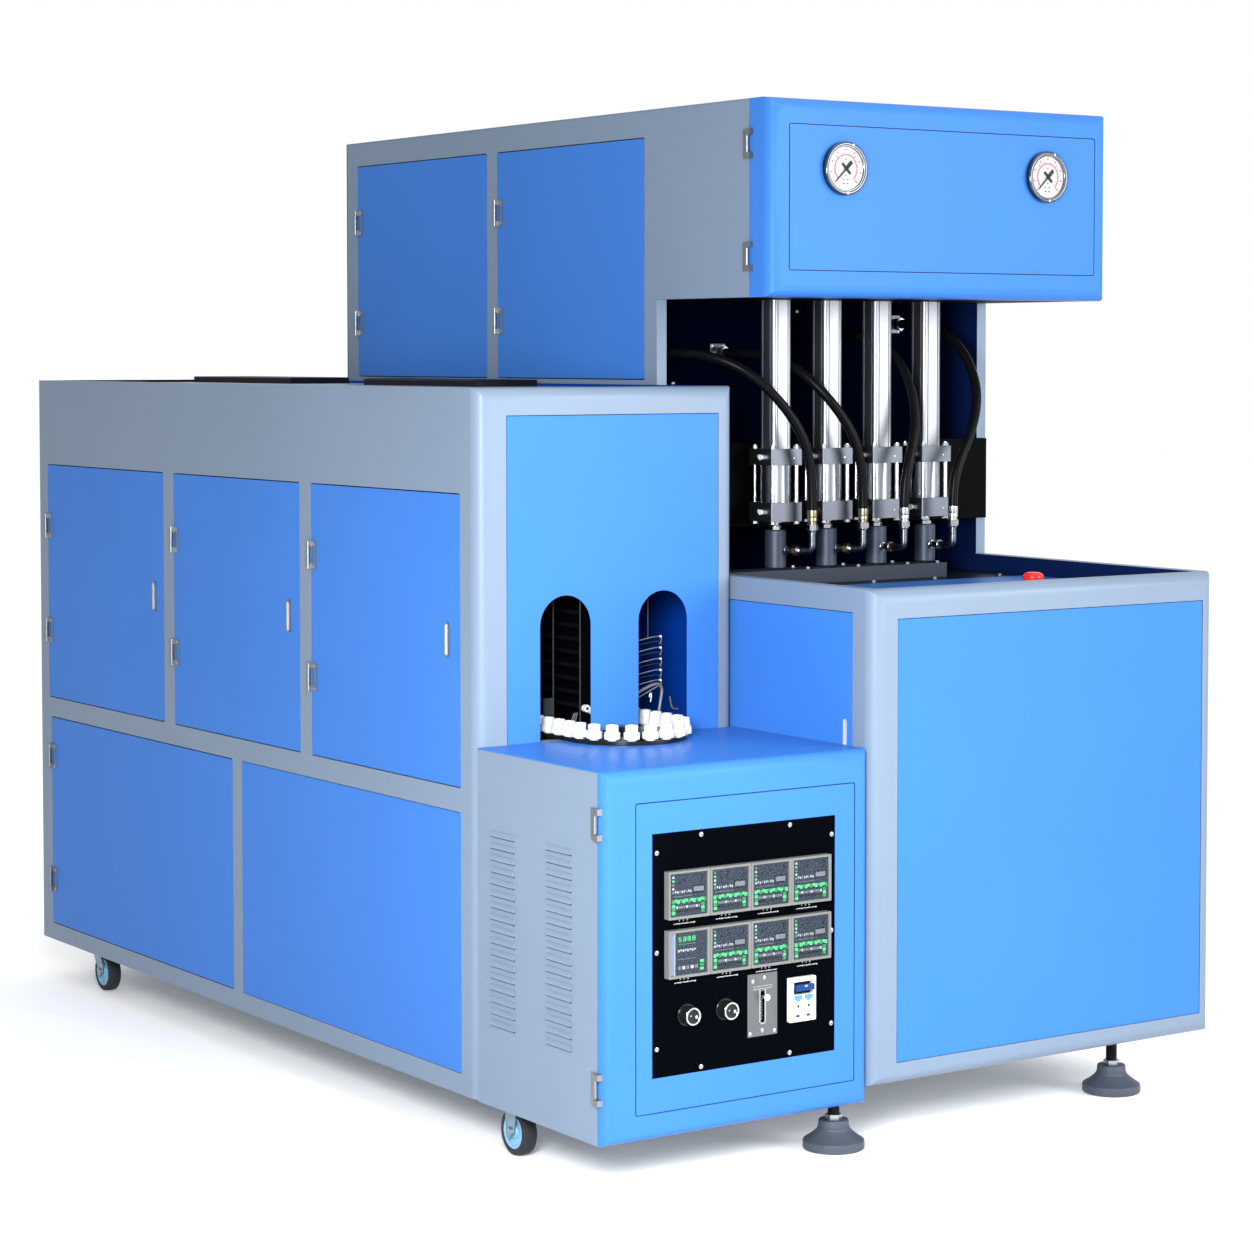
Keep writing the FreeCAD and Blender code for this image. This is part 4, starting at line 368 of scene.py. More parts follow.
class MoulderPaints(PropertyGroup):
    """Colours of the machine's finishes."""
    cabinet_blue: FloatVectorProperty(name="Panel blue", description="Powder coat of the doors and panels",
                                      default=(0.034, 0.142, 0.455), **COLOUR)
    frame_grey: FloatVectorProperty(name="Frame grey", description="Powder coat of the frames",
                                    default=(0.136, 0.184, 0.254), **COLOUR)
    chamber_black: FloatVectorProperty(name="Chamber black", description="Paint inside the blow chamber",
                                       default=(0.006, 0.007, 0.010), **COLOUR)
    inner_navy: FloatVectorProperty(name="Inner navy", description="Dark blue paint on the inner walls",
                                    default=(0.003, 0.010, 0.055), **COLOUR)
    slate_steel: FloatVectorProperty(name="Slate steel", description="Blued steel of the nozzles",
                                     default=(0.026, 0.036, 0.058), **COLOUR)
    hose_black: FloatVectorProperty(name="Hose black", description="Rubber of the air hoses",
                                    default=(0.0028, 0.003, 0.004), **COLOUR)
    holder_white: FloatVectorProperty(name="Holder white", description="Plastic of the preform holders",
                                      default=(0.60, 0.61, 0.62), **COLOUR)
    tyre_black: FloatVectorProperty(name="Tyre black", description="Caster tyres",
                                    default=(0.018, 0.020, 0.024), **COLOUR)
    foot_rubber: FloatVectorProperty(name="Foot rubber", description="Pads of the levelling feet",
                                     default=(0.045, 0.055, 0.075), **COLOUR)
    floor_white: FloatVectorProperty(name="Floor", description="Studio floor",
                                     default=(0.96, 0.96, 0.96), **COLOUR)


class MoulderSizes(PropertyGroup):
    """Sizes of the finish, and the studio's lights."""
    panel_edge: FloatProperty(name="Panel edge", description="Rounding of the door and panel edges, in mm",
                              default=1.0, min=0.2, max=1.8)
    hose_diameter: FloatProperty(name="Hose", description="Outer diameter of the air hoses",
                                 default=0.021, min=0.015, max=0.022, unit="LENGTH")
    barrel_grooves: IntProperty(name="Barrel grooves", description="Grooves in each face of a barrel",
                                default=2, min=0, max=4)
    key_light: FloatProperty(name="Key light", description="Power of the front light", default=470.0,
                             min=0, unit="POWER")
    fill_light: FloatProperty(name="Fill light", description="Power of the side light", default=60.0,
                              min=0, unit="POWER")
    top_light: FloatProperty(name="Top light", description="Power of the light above", default=60.0,
                             min=0, unit="POWER")
    sky: FloatProperty(name="Surround", description="Strength of the white surround", default=1.0, min=0)


FINISHES = {}


def finish(name):
    """A finish by its name, made once from the colours in the sidebar."""
    if name in FINISHES:
        return FINISHES[name]
    paints = bpy.context.scene.moulder_paints
    recipes = {
        powder_coat: {
            "panel blue": (paints.cabinet_blue, 0.36, 0.07),
            "frame grey": (paints.frame_grey, 0.40),
            # painted shadow: frame grey darkened, for the strips under the louvre mouths
            "louvre lip": (shade(paints.frame_grey, 0.16), 0.5, 0.1),
            "chamber black": (paints.chamber_black, 0.35, 0.08),
            "inner navy": (paints.inner_navy, 0.35, 0.1),
            "chamber wall": (shade(paints.inner_navy, 0.09), 0.5, 0.0),
            "oven lining": ((0.001, 0.030, 0.24), 0.35, 0.1),
            "nozzle bar paint": ((0.022, 0.028, 0.042), 0.45, 0.12),
        },
        brushed: {
            "slate steel": (paints.slate_steel, 0.1, 0.46, 0.35, 0.05, 60.0),
            "drawn aluminium": ((0.29, 0.305, 0.335), 0.02, 0.38, 1.0, 0.05, 160.0),
            "cylinder cap": ((0.115, 0.125, 0.15), 1, 0.40, 1.0, 0.12, 300.0),
            "cylinder tube": ((0.33, 0.35, 0.39), 0.05, 0.26, 1.0, 0.06, 90.0),
            "hinge steel": ((0.22, 0.235, 0.25), 0.08, 0.36, 0.9, 0.12, 200.0),
            "brushed plate": ((0.13, 0.135, 0.14), 0.03, 0.38, 0.9, 0.15, 260.0),
            "caster bracket": ((0.20, 0.30, 0.36), 1, 0.38, 0.8, 0.1, 80.0),
        },
        polished: {
            "pipe steel": ((0.13, 0.14, 0.16), 0.24),
            "dark steel": ((0.10, 0.105, 0.12), 0.28),
            "chrome": ((0.46, 0.48, 0.52), 0.14),
            "bezel chrome": ((0.10, 0.11, 0.12), 0.12),
            "zinc plate": ((0.42, 0.44, 0.47), 0.24),
            "brass": ((0.23, 0.195, 0.13), 0.28),
        },
        moulded: {
            "pull grey": ((0.42, 0.44, 0.47), 0.25, 700.0, 0.12, 0.6),
            "hose rubber": (paints.hose_black, 0.30, 900.0, 0.08, 0.06),
            "tyre": (paints.tyre_black, 0.55, 260.0, 0.25, 0.15),
            "foot rubber": (paints.foot_rubber, 0.48, 220.0, 0.25),
            "caster hub": ((0.16, 0.33, 0.48), 0.42),
            "white plastic": (paints.holder_white, 0.34, 500.0, 0.05),
            "gloss black plastic": ((0.008, 0.008, 0.009), 0.2, 500.0, 0.03, 0.2),
            "deep black": ((0.0010, 0.0011, 0.0016), 0.5, 700.0, 0.12, 0.02),
            "lamp tube": ((0.0035, 0.004, 0.006), 0.30, 700.0, 0.12, 0.06),
            "grey plastic": ((0.40, 0.44, 0.46), 0.40),
            "red plastic": ((0.78, 0.012, 0.010), 0.28, 500.0, 0.05),
            "blue toggle": ((0.004, 0.030, 0.14), 0.35, 700.0, 0.12, 0.15),
            "pale blue label": ((0.05, 0.20, 0.60), 0.45, 900.0, 0.02),
            "instrument plate": ((0.0010, 0.0013, 0.0022), 0.5, 1500.0, 0.03, 0.0),
            "instrument face": ((0.009, 0.0155, 0.028), 0.45, 1500.0, 0.03, 0.02),
            "case plastic": ((0.125, 0.132, 0.128), 0.40, 900.0, 0.08, 0.2),
            "circuit part": ((0.085, 0.10, 0.115), 0.45, 900.0, 0.05),
            "counter frame": ((0.09, 0.135, 0.23), 0.36, 900.0, 0.04),
            "terminal green": ((0.008, 0.16, 0.045), 0.40, 700.0, 0.12, 0.2),
            "printed mark": ((0.28, 0.30, 0.32), 0.45, 900.0, 0.02),
            "dial white": ((0.44, 0.45, 0.46), 0.45, 900.0, 0.02, 0.1),
            "dial ink": ((0.003, 0.003, 0.004), 0.45, 900.0, 0.02, 0.1),
            "dial red": ((0.34, 0.05, 0.06), 0.45, 900.0, 0.02),
            "grey wire": ((0.13, 0.14, 0.155), 0.40),
            "dark wire": ((0.03, 0.034, 0.04), 0.40),
            "brown wire": ((0.12, 0.10, 0.04), 0.40),
        },
        glowing: {"lit marks": ((0.03, 0.42, 0.12), 0.15)},
        clear_cover: {"clear cover": ((0.30, 0.33, 0.36), 0.03)},
    }
    for maker, group in recipes.items():
        if name in group:
            FINISHES[name] = maker(name, *group[name])
    return FINISHES[name]


# ------------------------------------------------------------------ operators
class StageOperator(Operator):
    """Makes the floor, the lights and the camera"""
    bl_idname = "moulder.stage"
    bl_label = "Studio"

    # The lens and middle of the photo's own camera, in its pixels, and its place and turn
    focal_px, frame_px, principal_px = 3101.0, 1254.0, (651.06, 501.6)
    place, pitch_down, yaw_right = (-3126.4, -5162.4, 1562.5), 2.715, 34.419
    floor_size, floor_glow = 30.0, 0.12
    # The surround is dimmer towards the left, which is what the left faces mirror
    dim_side, dim_from, dim_to, dim_tone = (-0.87, 0.49, 0.0), 0.3, 0.9, (0.55, 0.57, 0.6)

    def execute(self, context):
        sizes = context.scene.moulder_sizes
        self.floor(context.scene.moulder_paints.floor_white)
        self.surround(sizes.sky)
        self.lamp("key", sizes.key_light, (3.6, -7.0, 2.8), (0.2, -0.8, 0.9), 3.4)
        self.lamp("fill", sizes.fill_light, (-2.6, -3.4, 1.6), (-0.6, -1.1, 0.7), 0.9, 90.0)
        self.lamp("top", sizes.top_light, (0.4, -0.6, 5.6), (0.0, 0.0, 1.0), 3.6)
        self.camera()
        context.scene.view_settings.view_transform = "Standard"
        return {"FINISHED"}

    def floor(self, colour):
        """A pale floor, lifted by a faint glow."""
        bm = bmesh.new()
        bmesh.ops.create_grid(bm, x_segments=1, y_segments=1, size=self.floor_size)
        mesh = bpy.data.meshes.new("floor")
        bm.to_mesh(mesh)
        bm.free()
        paint = moulded("studio floor", colour, 0.6, 6.0, 0.0)
        shader = paint.node_tree.nodes["Principled BSDF"]
        shader.inputs["Emission Color"].default_value = (1, 1, 1, 1)
        shader.inputs["Emission Strength"].default_value = self.floor_glow
        mesh.materials.append(paint)
        in_scene("floor", mesh)

    def surround(self, strength):
        """A white surround."""
        world = bpy.data.worlds.new("studio")
        world.use_nodes = True
        tree = world.node_tree
        way = node(tree, "ShaderNodeTexCoord").outputs["Generated"]
        towards = node(tree, "ShaderNodeVectorMath", {0: way, 1: self.dim_side}, operation="DOT_PRODUCT")
        limits = {"Value": towards.outputs["Value"], "From Min": self.dim_from, "From Max": self.dim_to}
        dimmer = node(tree, "ShaderNodeMapRange", limits, interpolation_type="SMOOTHSTEP")
        sky = tree.nodes["Background"]
        tone = two_tones(tree, dimmer.outputs["Result"], (1, 1, 1), self.dim_tone)
        tree.links.new(tone, sky.inputs["Color"])
        sky.inputs["Strength"].default_value = strength
        bpy.context.scene.world = world

    def camera(self):
        """A camera at the photo's viewing angle."""
        camera = bpy.data.cameras.new("camera")
        camera.sensor_width = 36.0
        camera.lens = camera.sensor_width * self.focal_px / self.frame_px
        camera.shift_x = 0.5 - self.principal_px[0] / self.frame_px
        camera.shift_y = self.principal_px[1] / self.frame_px - 0.5
        camera.clip_end = 100.0
        holder = in_scene("camera", camera)
        holder.location = at(*self.place)
        holder.rotation_euler = (math.radians(90 - self.pitch_down), 0, -math.radians(self.yaw_right))
        bpy.context.scene.camera = holder

    def lamp(self, name, power, place, target, size, spread=180.0):
        """An area light that points at a target."""
        light = bpy.data.lights.new(name, "AREA")
        light.energy = power
        light.size = size
        light.spread = math.radians(spread)
        holder = in_scene(name, light)
        holder.location = place
        holder.visible_camera = False
        way = Vector(target) - Vector(place)
        holder.rotation_euler = way.to_track_quat("-Z", "Y").to_euler()


class FramesOperator(Operator):
    """Finishes the grey frames, the inner walls and the fixed blue panels"""
    bl_idname = "moulder.frames"
    bl_label = "Frames and panels"

    louvre_columns, louvre_rows, louvre_top, louvre_pitch = (-93.0, -293.5), 17, 630.0, 23.1

    def execute(self, context):
        edge = context.scene.moulder_sizes.panel_edge
        for name in ("oven_front_panel", "lower_fixed_panel", "control_shelf", "base_front_panel"):
            refined(name, ["panel blue"], edge=edge)
        refined("base_side_panel", ["panel blue", "pull grey"], paint=self.pull_cup,
                edge=edge)
        for name, inner, paint, width in (
                ("oven_frame", ["chamber black"], self.oven_inside, edge),
                ("oven_rear_panels", ["oven lining", "deep black"], self.oven_far_inside, 0),
                ("base_frame", ["inner navy"], self.base_inside, edge),
                ("tower_frame", ["chamber black"], self.tower_inside, edge),
                ("tower_rear_panels", ["inner navy"], self.tower_far_inside, 0),
                ("tower_top_cover", [], None, 0),
                ("floor_pans", [], None, 0)):
            refined(name, ["frame grey", *inner], paint=paint, edge=width)
        refined("oven_top_cover", ["frame grey", "chamber black"], paint=self.hoods,
                edge=0.5)
        for name in ("oven_deck", "head_floor", "cylinder_beam"):
            refined(name, ["deep black"], edge=0.6)
        refined("chamber_panel", ["chamber wall"])
        refined("table_top", ["panel blue", "chamber black", "grey plastic"],
                paint=self.table)
        refined("nozzle_bar", ["nozzle bar paint"], edge=1.0)
        # the undersides of the louvre hoods get chamber black as painted shade
        refined("control_box", ["frame grey", "chamber black"], paint=self.louvre_mouth_shade)
        # painted shadow: dark strips on the wall under the louvre mouths
        self.louvre_painted_shadow()
        return {"FINISHED"}

    def louvre_painted_shadow(self):
        """A painted shadow: a thin dark strip on the wall just under the mouth of each louvre, where shade
        falls.
        """
        bm = bmesh.new()
        for y in self.louvre_columns:
            for row in range(self.louvre_rows):
                z = self.louvre_top - self.louvre_pitch * row
                block(bm, (-0.5, 0.2), (y - 43.5, y + 43.5), (z - 2.8, z))
        piece("louvre_painted_shadow", bm, ["louvre lip"])

    # Each of these gives a face's slot from its middle, in millimetres, and its normal
    def pull_cup(self, p, normal):
        return 0.5 < p.x - BLOW_LEFT < 14 and abs(p.z - 812) < 40 and p.y < -350

    def oven_inside(self, p, normal):
        return p.x > 24 and normal.x > 0.7

    def oven_far_inside(self, p, normal):
        return 2 if normal.y < -0.7 and p.y > 2000 else normal.x < -0.7 and p.x > 600

    def base_inside(self, p, normal):
        return (normal.x < -0.7 and p.x > 1400) or (normal.x > 0.7 and p.x < 700)

    def tower_inside(self, p, normal):
        return normal.x > 0.7

    def tower_far_inside(self, p, normal):
        return normal.x < -0.7 or (normal.y < -0.7 and p.y > 300)

    def hoods(self, p, normal):
        return p.z > OVEN_TOP - 5.5

    def table(self, p, normal):
        return 2 if p.z > TABLE + 0.5 else p.y > 99.5

    # Painted shade: the undersides of the louvre hoods in chamber black, where shade falls under them
    def louvre_mouth_shade(self, p, normal):
        return p.x < 2 and normal.z < -0.7 and 240 < p.z < 650 and p.y < -40


class DoorsOperator(Operator):
    """Finishes the doors with their hinge leaves, pulls and screws"""
    bl_idname = "moulder.doors"
    bl_label = "Doors and hinges"

    pull_z = 999.0
    oven_hinges, lower_hinges, tower_hinges = (877.0, 1137.0), (251.0, 561.0), (1640.0, 1887.0)
    # Each door on the left: the plane of its face, its front and rear edges, and its hinges' heights
    side_doors = {
        "oven_door_front": (OVEN_LEFT, 64.5, 683.0, oven_hinges),
        "oven_door_middle": (OVEN_LEFT, 733.0, 1349.0, oven_hinges),
        "oven_door_rear": (OVEN_LEFT, 1402.0, 2063.0, oven_hinges),
        "lower_door": (OVEN_LEFT, 1056.0, 2052.0, lower_hinges),
        "tower_door_front": (BLOW_LEFT, 331.7, 932.7, tower_hinges),
        "tower_door_rear": (BLOW_LEFT, 976.7, 1589.1, tower_hinges),
    }

    def execute(self, context):
        edge = context.scene.moulder_sizes.panel_edge
        screws = bmesh.new()
        for name, (face, front, rear, heights) in self.side_doors.items():
            refined(name, ["panel blue", "hinge steel", "pull grey"], name,
                    self.side_paint(face, front, rear), edge)
            leaf = bmesh.new()
            for z in heights:
                for dz in (-24, 24):
                    self.screw(leaf, (face - 2.0, rear - 19.5, z + dz), LEFT)
                    self.screw(screws, (face - 2.0, rear + 7.5, z + dz * 0.8), LEFT)
            piece(name + "_screws", leaf, ["zinc plate"], name)
        piece("hinge_screws", screws, ["zinc plate"])
        # inner navy on these doors is painted shade in the groove round the inset
        refined("control_door", ["panel blue", "hinge steel", "inner navy"], "control_door",
                self.front_paint(OVEN_LEFT, CONTROL_FRONT, (28, 592), (150, 768)))
        refined("head_door", ["panel blue", "hinge steel", "inner navy"], "head_door",
                self.front_paint(BLOW_LEFT, HEAD_FRONT, (650, 1508), (1708, 2056)))
        refined("cabinet_hinges", ["hinge steel"], edge=0.5, least_area=0.0)
        return {"FINISHED"}

    def screw(self, bm, base, way):
        """A small pan-head screw."""
        lathe(bm, ((3.0, 0), (2.9, 0.7), (2.2, 1.2), (0, 1.4)), base, way, sides=12)

    def side_paint(self, face, front, rear):
        """Steel where a side door stands proud of the cabinet, chrome inside its pull, and blue elsewhere."""
        def paint(p, normal):
            if p.x < face - 0.5:
                return 1
            inside_pull = abs(p.z - self.pull_z) < 36 and face + 0.2 < p.x < face + 12.5
            return 2 if inside_pull and front + 4 < p.y < rear - 4 else 0
        return paint

    def front_paint(self, face, front, x, z):
        """Steel on the hinge eyes, painted shade in navy on the groove inside the door's border, and blue
        elsewhere.
        """
        def paint(p, normal):
            if p.x < face - 0.3:
                return 1
            inside = x[0] < p.x < x[1] and z[0] < p.z < z[1]
            # painted shade: navy on the floor and walls of the groove, where shade falls
            return 2 if inside and front + 0.3 < p.y < front + 3 else 0
        return paint


# The slots of the parts on a controller's face
PART, GREEN, LIT, MARK, DARK, BLUE = range(6)


class InstrumentsOperator(Operator):
    """Finishes the instrument plate and the eight controllers"""
    bl_idname = "moulder.instruments"
    bl_label = "Instruments"

    columns = tuple((132.0 + 95.5 * k, 226.5 + 95.5 * k) for k in range(4))
    rows = ((512.0, 602.0), (401.0, 491.0))
    proud, bezel, sunk = 15.0, 5.0, 4.0

    def execute(self, context):
        refined("instrument_plate", ["instrument plate", "brushed plate", "zinc plate"], "control_door",
                self.plate_paint)
        cases, details = bmesh.new(), bmesh.new()
        covers, legends = bmesh.new(), bmesh.new()
        for row, z in enumerate(self.rows):
            for column, x in enumerate(self.columns):
                self.case(cases, x, z)
                if row == 1 and column == 0:
                    self.counter_face(details, x, z)
                else:
                    self.relay_face(details, x, z, row * 4 + column)
                self.cover(covers, x, z)
                self.legend(legends, x, z, row * 4 + column)
        self.plate_details(legends)
        piece("controller_cases", cases, ["case plastic", "instrument face"], "control_door",
              "panel_instruments")
        piece("controller_faces", details,
              ["circuit part", "terminal green", "lit marks", "printed mark", "instrument plate",
               "counter frame"], "control_door")
        piece("controller_covers", covers, ["clear cover"], "control_door")
        piece("panel_marks", legends, ["printed mark", "zinc plate", "instrument plate"], "control_door")
        return {"FINISHED"}

    def plate_paint(self, p, normal):
        """Steel on the switch plate, zinc on the screw heads and black elsewhere."""
        if p.y > CONTROL_FRONT - 0.3:
            return 0
        return 1 if 322 < p.x < 394 and 265 < p.z < 387 else 2

    def case(self, bm, x, z):
        """A grey case with a sunk face."""
        verts = block(bm, x, (CONTROL_FRONT - self.proud, CONTROL_FRONT + 1), z)
        for side in faces_of(verts):
            side.normal_update()
        front = min(faces_of(verts), key=lambda f: f.normal.y)
        bmesh.ops.inset_region(bm, faces=[front], thickness=self.bezel * MM, use_even_offset=True)
        sink(bm, front, self.sunk, 1)
        bevel(bm, {e for v in verts for e in v.link_edges if is_sharp(e)}, 1.4, 3)

    def spot(self, bm, x, z, u, v, width, height, proud, slot=0):
        """A small part on a sunk face, round a place in shares of that face, sized in millimetres."""
        px, pz = (low + self.bezel + share * (high - low - 2 * self.bezel)
                  for (low, high), share in ((x, u), (z, v)))
        front_mark(bm, px, pz, width, height, CONTROL_FRONT - self.proud + self.sunk, proud, slot)

    def relay_face(self, bm, x, z, index):
        """Lamps on the left, a dark display, and green terminal blocks along the foot."""
        spot = partial(self.spot, bm, x, z)
        for k in range(5):
            lamp = MARK if (k + index) % 3 == 0 else LIT if k % 2 else PART
            spot(0.09, 0.92 - 0.09 * k, 4.2, 4.0, 0.6, lamp)
        for k in range(4):
            spot(0.24 + 0.2 * k, 0.93, 5 + 2 * (k % 2), 1.6, 0.4, DARK)
        for u, v in ((0.27, 0.79), (0.38 + 0.05 * (index % 3), 0.84), (0.86, 0.80), (0.88, 0.88)):
            spot(u, v, 4.2, 4.6, 0.8, DARK)
        for k in range(9):
            spot(0.10 + 0.058 * k, 0.565 + 0.012 * (k % 2), 2.6, 4.2, 0.5, MARK if k % 3 else PART)
        spot(0.77, 0.60, 27.0, 15.0, 0.9, DARK)
        spot(0.77, 0.605, 23.0, 9.0, 1.2)
        spot(0.34, 0.465, 44.0, 0.9, 0.4)
        for k in range(13):
            spot(0.075 + 0.071 * k, 0.345 + 0.022 * (k % 2), 4.9, 6.6 - 1.6 * (k % 2), 2.6,
                 LIT if (k * 5 + index) % 3 else GREEN)
        for side, u in ((0, 0.09), (1, 0.88)):
            for k in range(3):
                spot(u, 0.24 - 0.08 * k, 6.4, 5.0, 2.2, GREEN if (k + side) % 2 else LIT)
        for k in range(10):
            spot(0.19 + 0.066 * k, 0.21, 3.4, 4.6, 1.6, PART if (k + index) % 4 else MARK)
            spot(0.19 + 0.066 * k, 0.12, 3.4, 3.6, 1.2, DARK)

    def counter_face(self, bm, x, z):
        """The counter: a blue frame at its left, lit digits and a row of keys."""
        spot = partial(self.spot, bm, x, z)
        spot(0.055, 0.5, 8.6, 78.0, 1.2, BLUE)
        spot(0.125, 0.5, 1.4, 80.0, 1.5, MARK)
        for digit in range(4):
            u = 0.27 + 0.125 * digit
            for dv in (-0.045, 0.0, 0.045):
                spot(u, 0.84 + dv, 5.4, 1.3, 0.6, LIT)
            for du, dv in ((-0.034, 0.022), (0.034, 0.022), (-0.034, -0.022), (0.034, -0.022)):
                if (digit + int(100 * (du + dv))) % 5:
                    spot(u + du, 0.84 + dv, 1.2, 3.4, 0.6, LIT)
        for k in range(5):
            spot(0.27 + 0.095 * k, 0.72, 5.0, 1.8, 0.6, GREEN)
        for k in range(8):
            spot(0.24 + 0.062 * k, 0.57 + 0.012 * (k % 2), 3.4, 4.6 - 1.4 * (k % 2), 0.5, MARK)
        spot(0.44, 0.37, 40.0, 0.8, 0.4)
        for k in range(5):
            spot(0.25 + 0.115 * k, 0.17, 5.6, 6.0, 1.6, MARK if k % 2 else PART)
        for k in range(3):
            spot(0.86, 0.10 + 0.09 * k, 8.0, 4.6, 1.4, GREEN if k % 2 else LIT)

    def cover(self, bm, x, z):
        """The clear cover, just inside the rim of the case."""
        y = CONTROL_FRONT - self.proud
        edge = self.bezel + 0.1
        block(bm, (x[0] + edge, x[1] - edge), (y + 0.6, y + 1.1), (z[0] + edge, z[1] - edge))

    def legend(self, bm, x, z, index):
        """Generic printed marks under a controller."""
        middle = sum(x) / 2 + (index % 3 - 1) * 2
        for k, size in enumerate(((2.2, 2.6), (2.0, 3.4), (3.0, 3.0))):
            front_mark(bm, middle - 11 + 9 * k, z[0] - 5.5, size[0], size[1], CONTROL_FRONT, 0.15)
        for k in range(9):
            front_mark(bm, middle - 22 + 5.6 * k, z[0] - 11.5 + 0.3 * (k % 2), 4.4, 1.5 + 0.4 * (k % 3),
                       CONTROL_FRONT, 0.15)

    def plate_details(self, bm):
        """The switch plate's screws, engraved outline and slot rim, and a black square of painted shade in
        the recess of every plate screw.
        """
        y = CONTROL_FRONT - 2.0
        for x, z in ((335.0, 372.0), (362.0, 377.0), (328.0, 272.0), (357.0, 276.0), (386.0, 273.0)):
            lathe(bm, ((4.2, 0), (4.0, 0.9), (2.6, 1.6), (0, 1.8)), (x, y, z), FRONT, 20, 1)
        for x, z, width, height, proud in ((358, 361.4, 44, 1.0, 0.2), (358, 356.6, 44, 1.0, 0.2),
                                           (380, 359, 1.0, 5.8, 0.2), (351.6, 322, 2.0, 66, 0.8),
                                           (364.4, 322, 2.0, 66, 0.8), (358, 290, 14.8, 2.0, 0.8)):
            front_mark(bm, x, z, width, height, y, proud)
        for k in range(9):
            front_mark(bm, 358 + 1.5 * (k % 2), 298 + 5.5 * k, 3.2, 1.6, CONTROL_FRONT + 1.5, 0.4, 1)
        places = [(x, z) for x in (215.0, 423.0) for z in (225.0, 664.6)]
        places += [(x, z) for x in (114.0, 523.5) for z in (270.0, 451.0, 638.0)]
        for x, z in places:
            lathe(bm, ((4.4, 0), (4.3, 0.8), (3.2, 1.5), (1.4, 1.8), (1.3, 1.2), (0, 1.2)),
                  (x, CONTROL_FRONT - 1.0, z), FRONT, 20, 1)
            # painted shade: a black square in the recess of each screw
            front_mark(bm, x, z, 1.8, 1.8, CONTROL_FRONT - 2.3, 0.1, 2)


class SwitchesOperator(Operator):
    """Makes the knobs, the slide switch's lever and the breaker"""
    bl_idname = "moulder.switches"
    bl_label = "Knobs and switches"

    knobs = {"knob_left": 182.5, "knob_right": 270.8}
    knob_z = 327.5

    def execute(self, context):
        for name, x in self.knobs.items():
            self.knob(name, x)
        self.lever()
        self.breaker()
        return {"FINISHED"}

    def knob(self, name, x):
        """A black knob with a silver ring round its dished face, and two silver studs on the face."""
        bm = bmesh.new()
        front = CONTROL_FRONT - 0.3
        base = (x, front, self.knob_z)
        lathe(bm, ((0, 0), (21, 0), (21, 2.2), (20.2, 3), (18.4, 3), (18.2, 4.5), (17.6, 20), (17.2, 21.5),
                   (16.9, 22.0)), base, FRONT, 64)
        lathe(bm, ((16.9, 22.0), (16.9, 23.4), (16.3, 24.0), (13.8, 24.0), (13.2, 23.4), (13.2, 21.0)),
              base, FRONT, 64, 1)
        lathe(bm, ((13.2, 21.0), (6.0, 20.0), (0, 19.8)), base, FRONT, 64)
        for radius, px, z, tall, sides in ((3.4, x + 6.0, self.knob_z - 1, 4.7, 20),
                                           (1.6, x - 4.5, self.knob_z + 1, 1.3, 16)):
            rod(bm, radius, (px, front - 19.9, z), (px, front - 19.9 - tall, z), sides, 1)
        bmesh.ops.remove_doubles(bm, verts=bm.verts, dist=JOIN)
        piece(name + "_cap", bm, ["gloss black plastic", "chrome"], name, name)

    def lever(self):
        """The lever of the slide switch, with its light grip."""
        bm = bmesh.new()
        z, x, front = 342.0, 358.0, CONTROL_FRONT
        rod(bm, 3.4, (x, front + 0.9, z), (x, front - 15, z), 20, 1)
        lathe(bm, ((0, 0), (4.0, 0), (6.2, 1.2), (6.5, 2.6), (6.2, 4.0), (4.0, 5.0), (0, 5.0)),
              (x, front - 15, z), FRONT, 32)
        piece("slider_grip", bm, ["white plastic", "chrome"], "slider", "slider")

    def breaker(self):
        """A white breaker with a blue toggle in its window, a pale label and two terminal screws."""
        front, y = CONTROL_FRONT, CONTROL_FRONT - 12.0
        bm = bmesh.new()
        ease(bm, block(bm, (417, 480), (y, front + 0.5), (284, 370)), 2.5, 3)
        for place, way in (((425.5, y, 349), (1, 0, 0)), ((471.5, y, 349), (1, 0, 0)),
                           ((448.5, y, 336.5), UP), ((448.5, y, 361.5), UP)):
            bmesh.ops.bisect_plane(bm, geom=[*bm.verts, *bm.edges, *bm.faces], dist=1e-7,
                                   plane_co=at(*place), plane_no=way)
        middle = at(448.5, y, 349)
        window = min(bm.faces, key=lambda f: (f.calc_center_median() - middle).length)
        sink(bm, window, 10.5)
        piece("breaker_case", bm, ["white plastic"], "control_door", "panel_instruments")
        bm = bmesh.new()
        block(bm, (425.7, 471.3), (y + 10.0, y + 10.4), (336.7, 361.3), 2)
        for x in (436.0, 461.0):
            front_mark(bm, x, 331.5, 20, 8.5, y, 0.3, 1)
            front_mark(bm, x, 325.2, 10, 3.6, y, 0.3, 1)
            rod(bm, 2.8, (x, y, 314.5), (x, y - 0.5, 314.5), 20, 2)
            front_mark(bm, x, 320.5, 2.2, 1.6, y, 0.3, 2)
            front_mark(bm, x - 1, 296, 8.5, 5.0, y, 0.3)
        for k in range(3):
            front_mark(bm, 444 + 4.2 * k, 292.5, 2.4, 1.0, y, 0.3, 2)
        piece("breaker_label", bm, ["blue toggle", "pale blue label", "instrument face"], "control_door")
        bm = bmesh.new()
        ease(bm, block(bm, (427.5, 469.5), (y - 8.6, y - 0.6), (345.0, 357.0)), 1.4, 3)
        rod(bm, 3.3, (427, y + 6, 351), (470, y + 6, 351), 20)
        block(bm, (430, 467), (y - 1, y + 6), (348.5, 353.5))
        front_mark(bm, 448.5, 354.5, 6, 3.5, y - 8.6, 0.3, 1)
        name = "breaker_toggle"
        piece("breaker_handle", bm, ["blue toggle", "printed mark"], name, name)


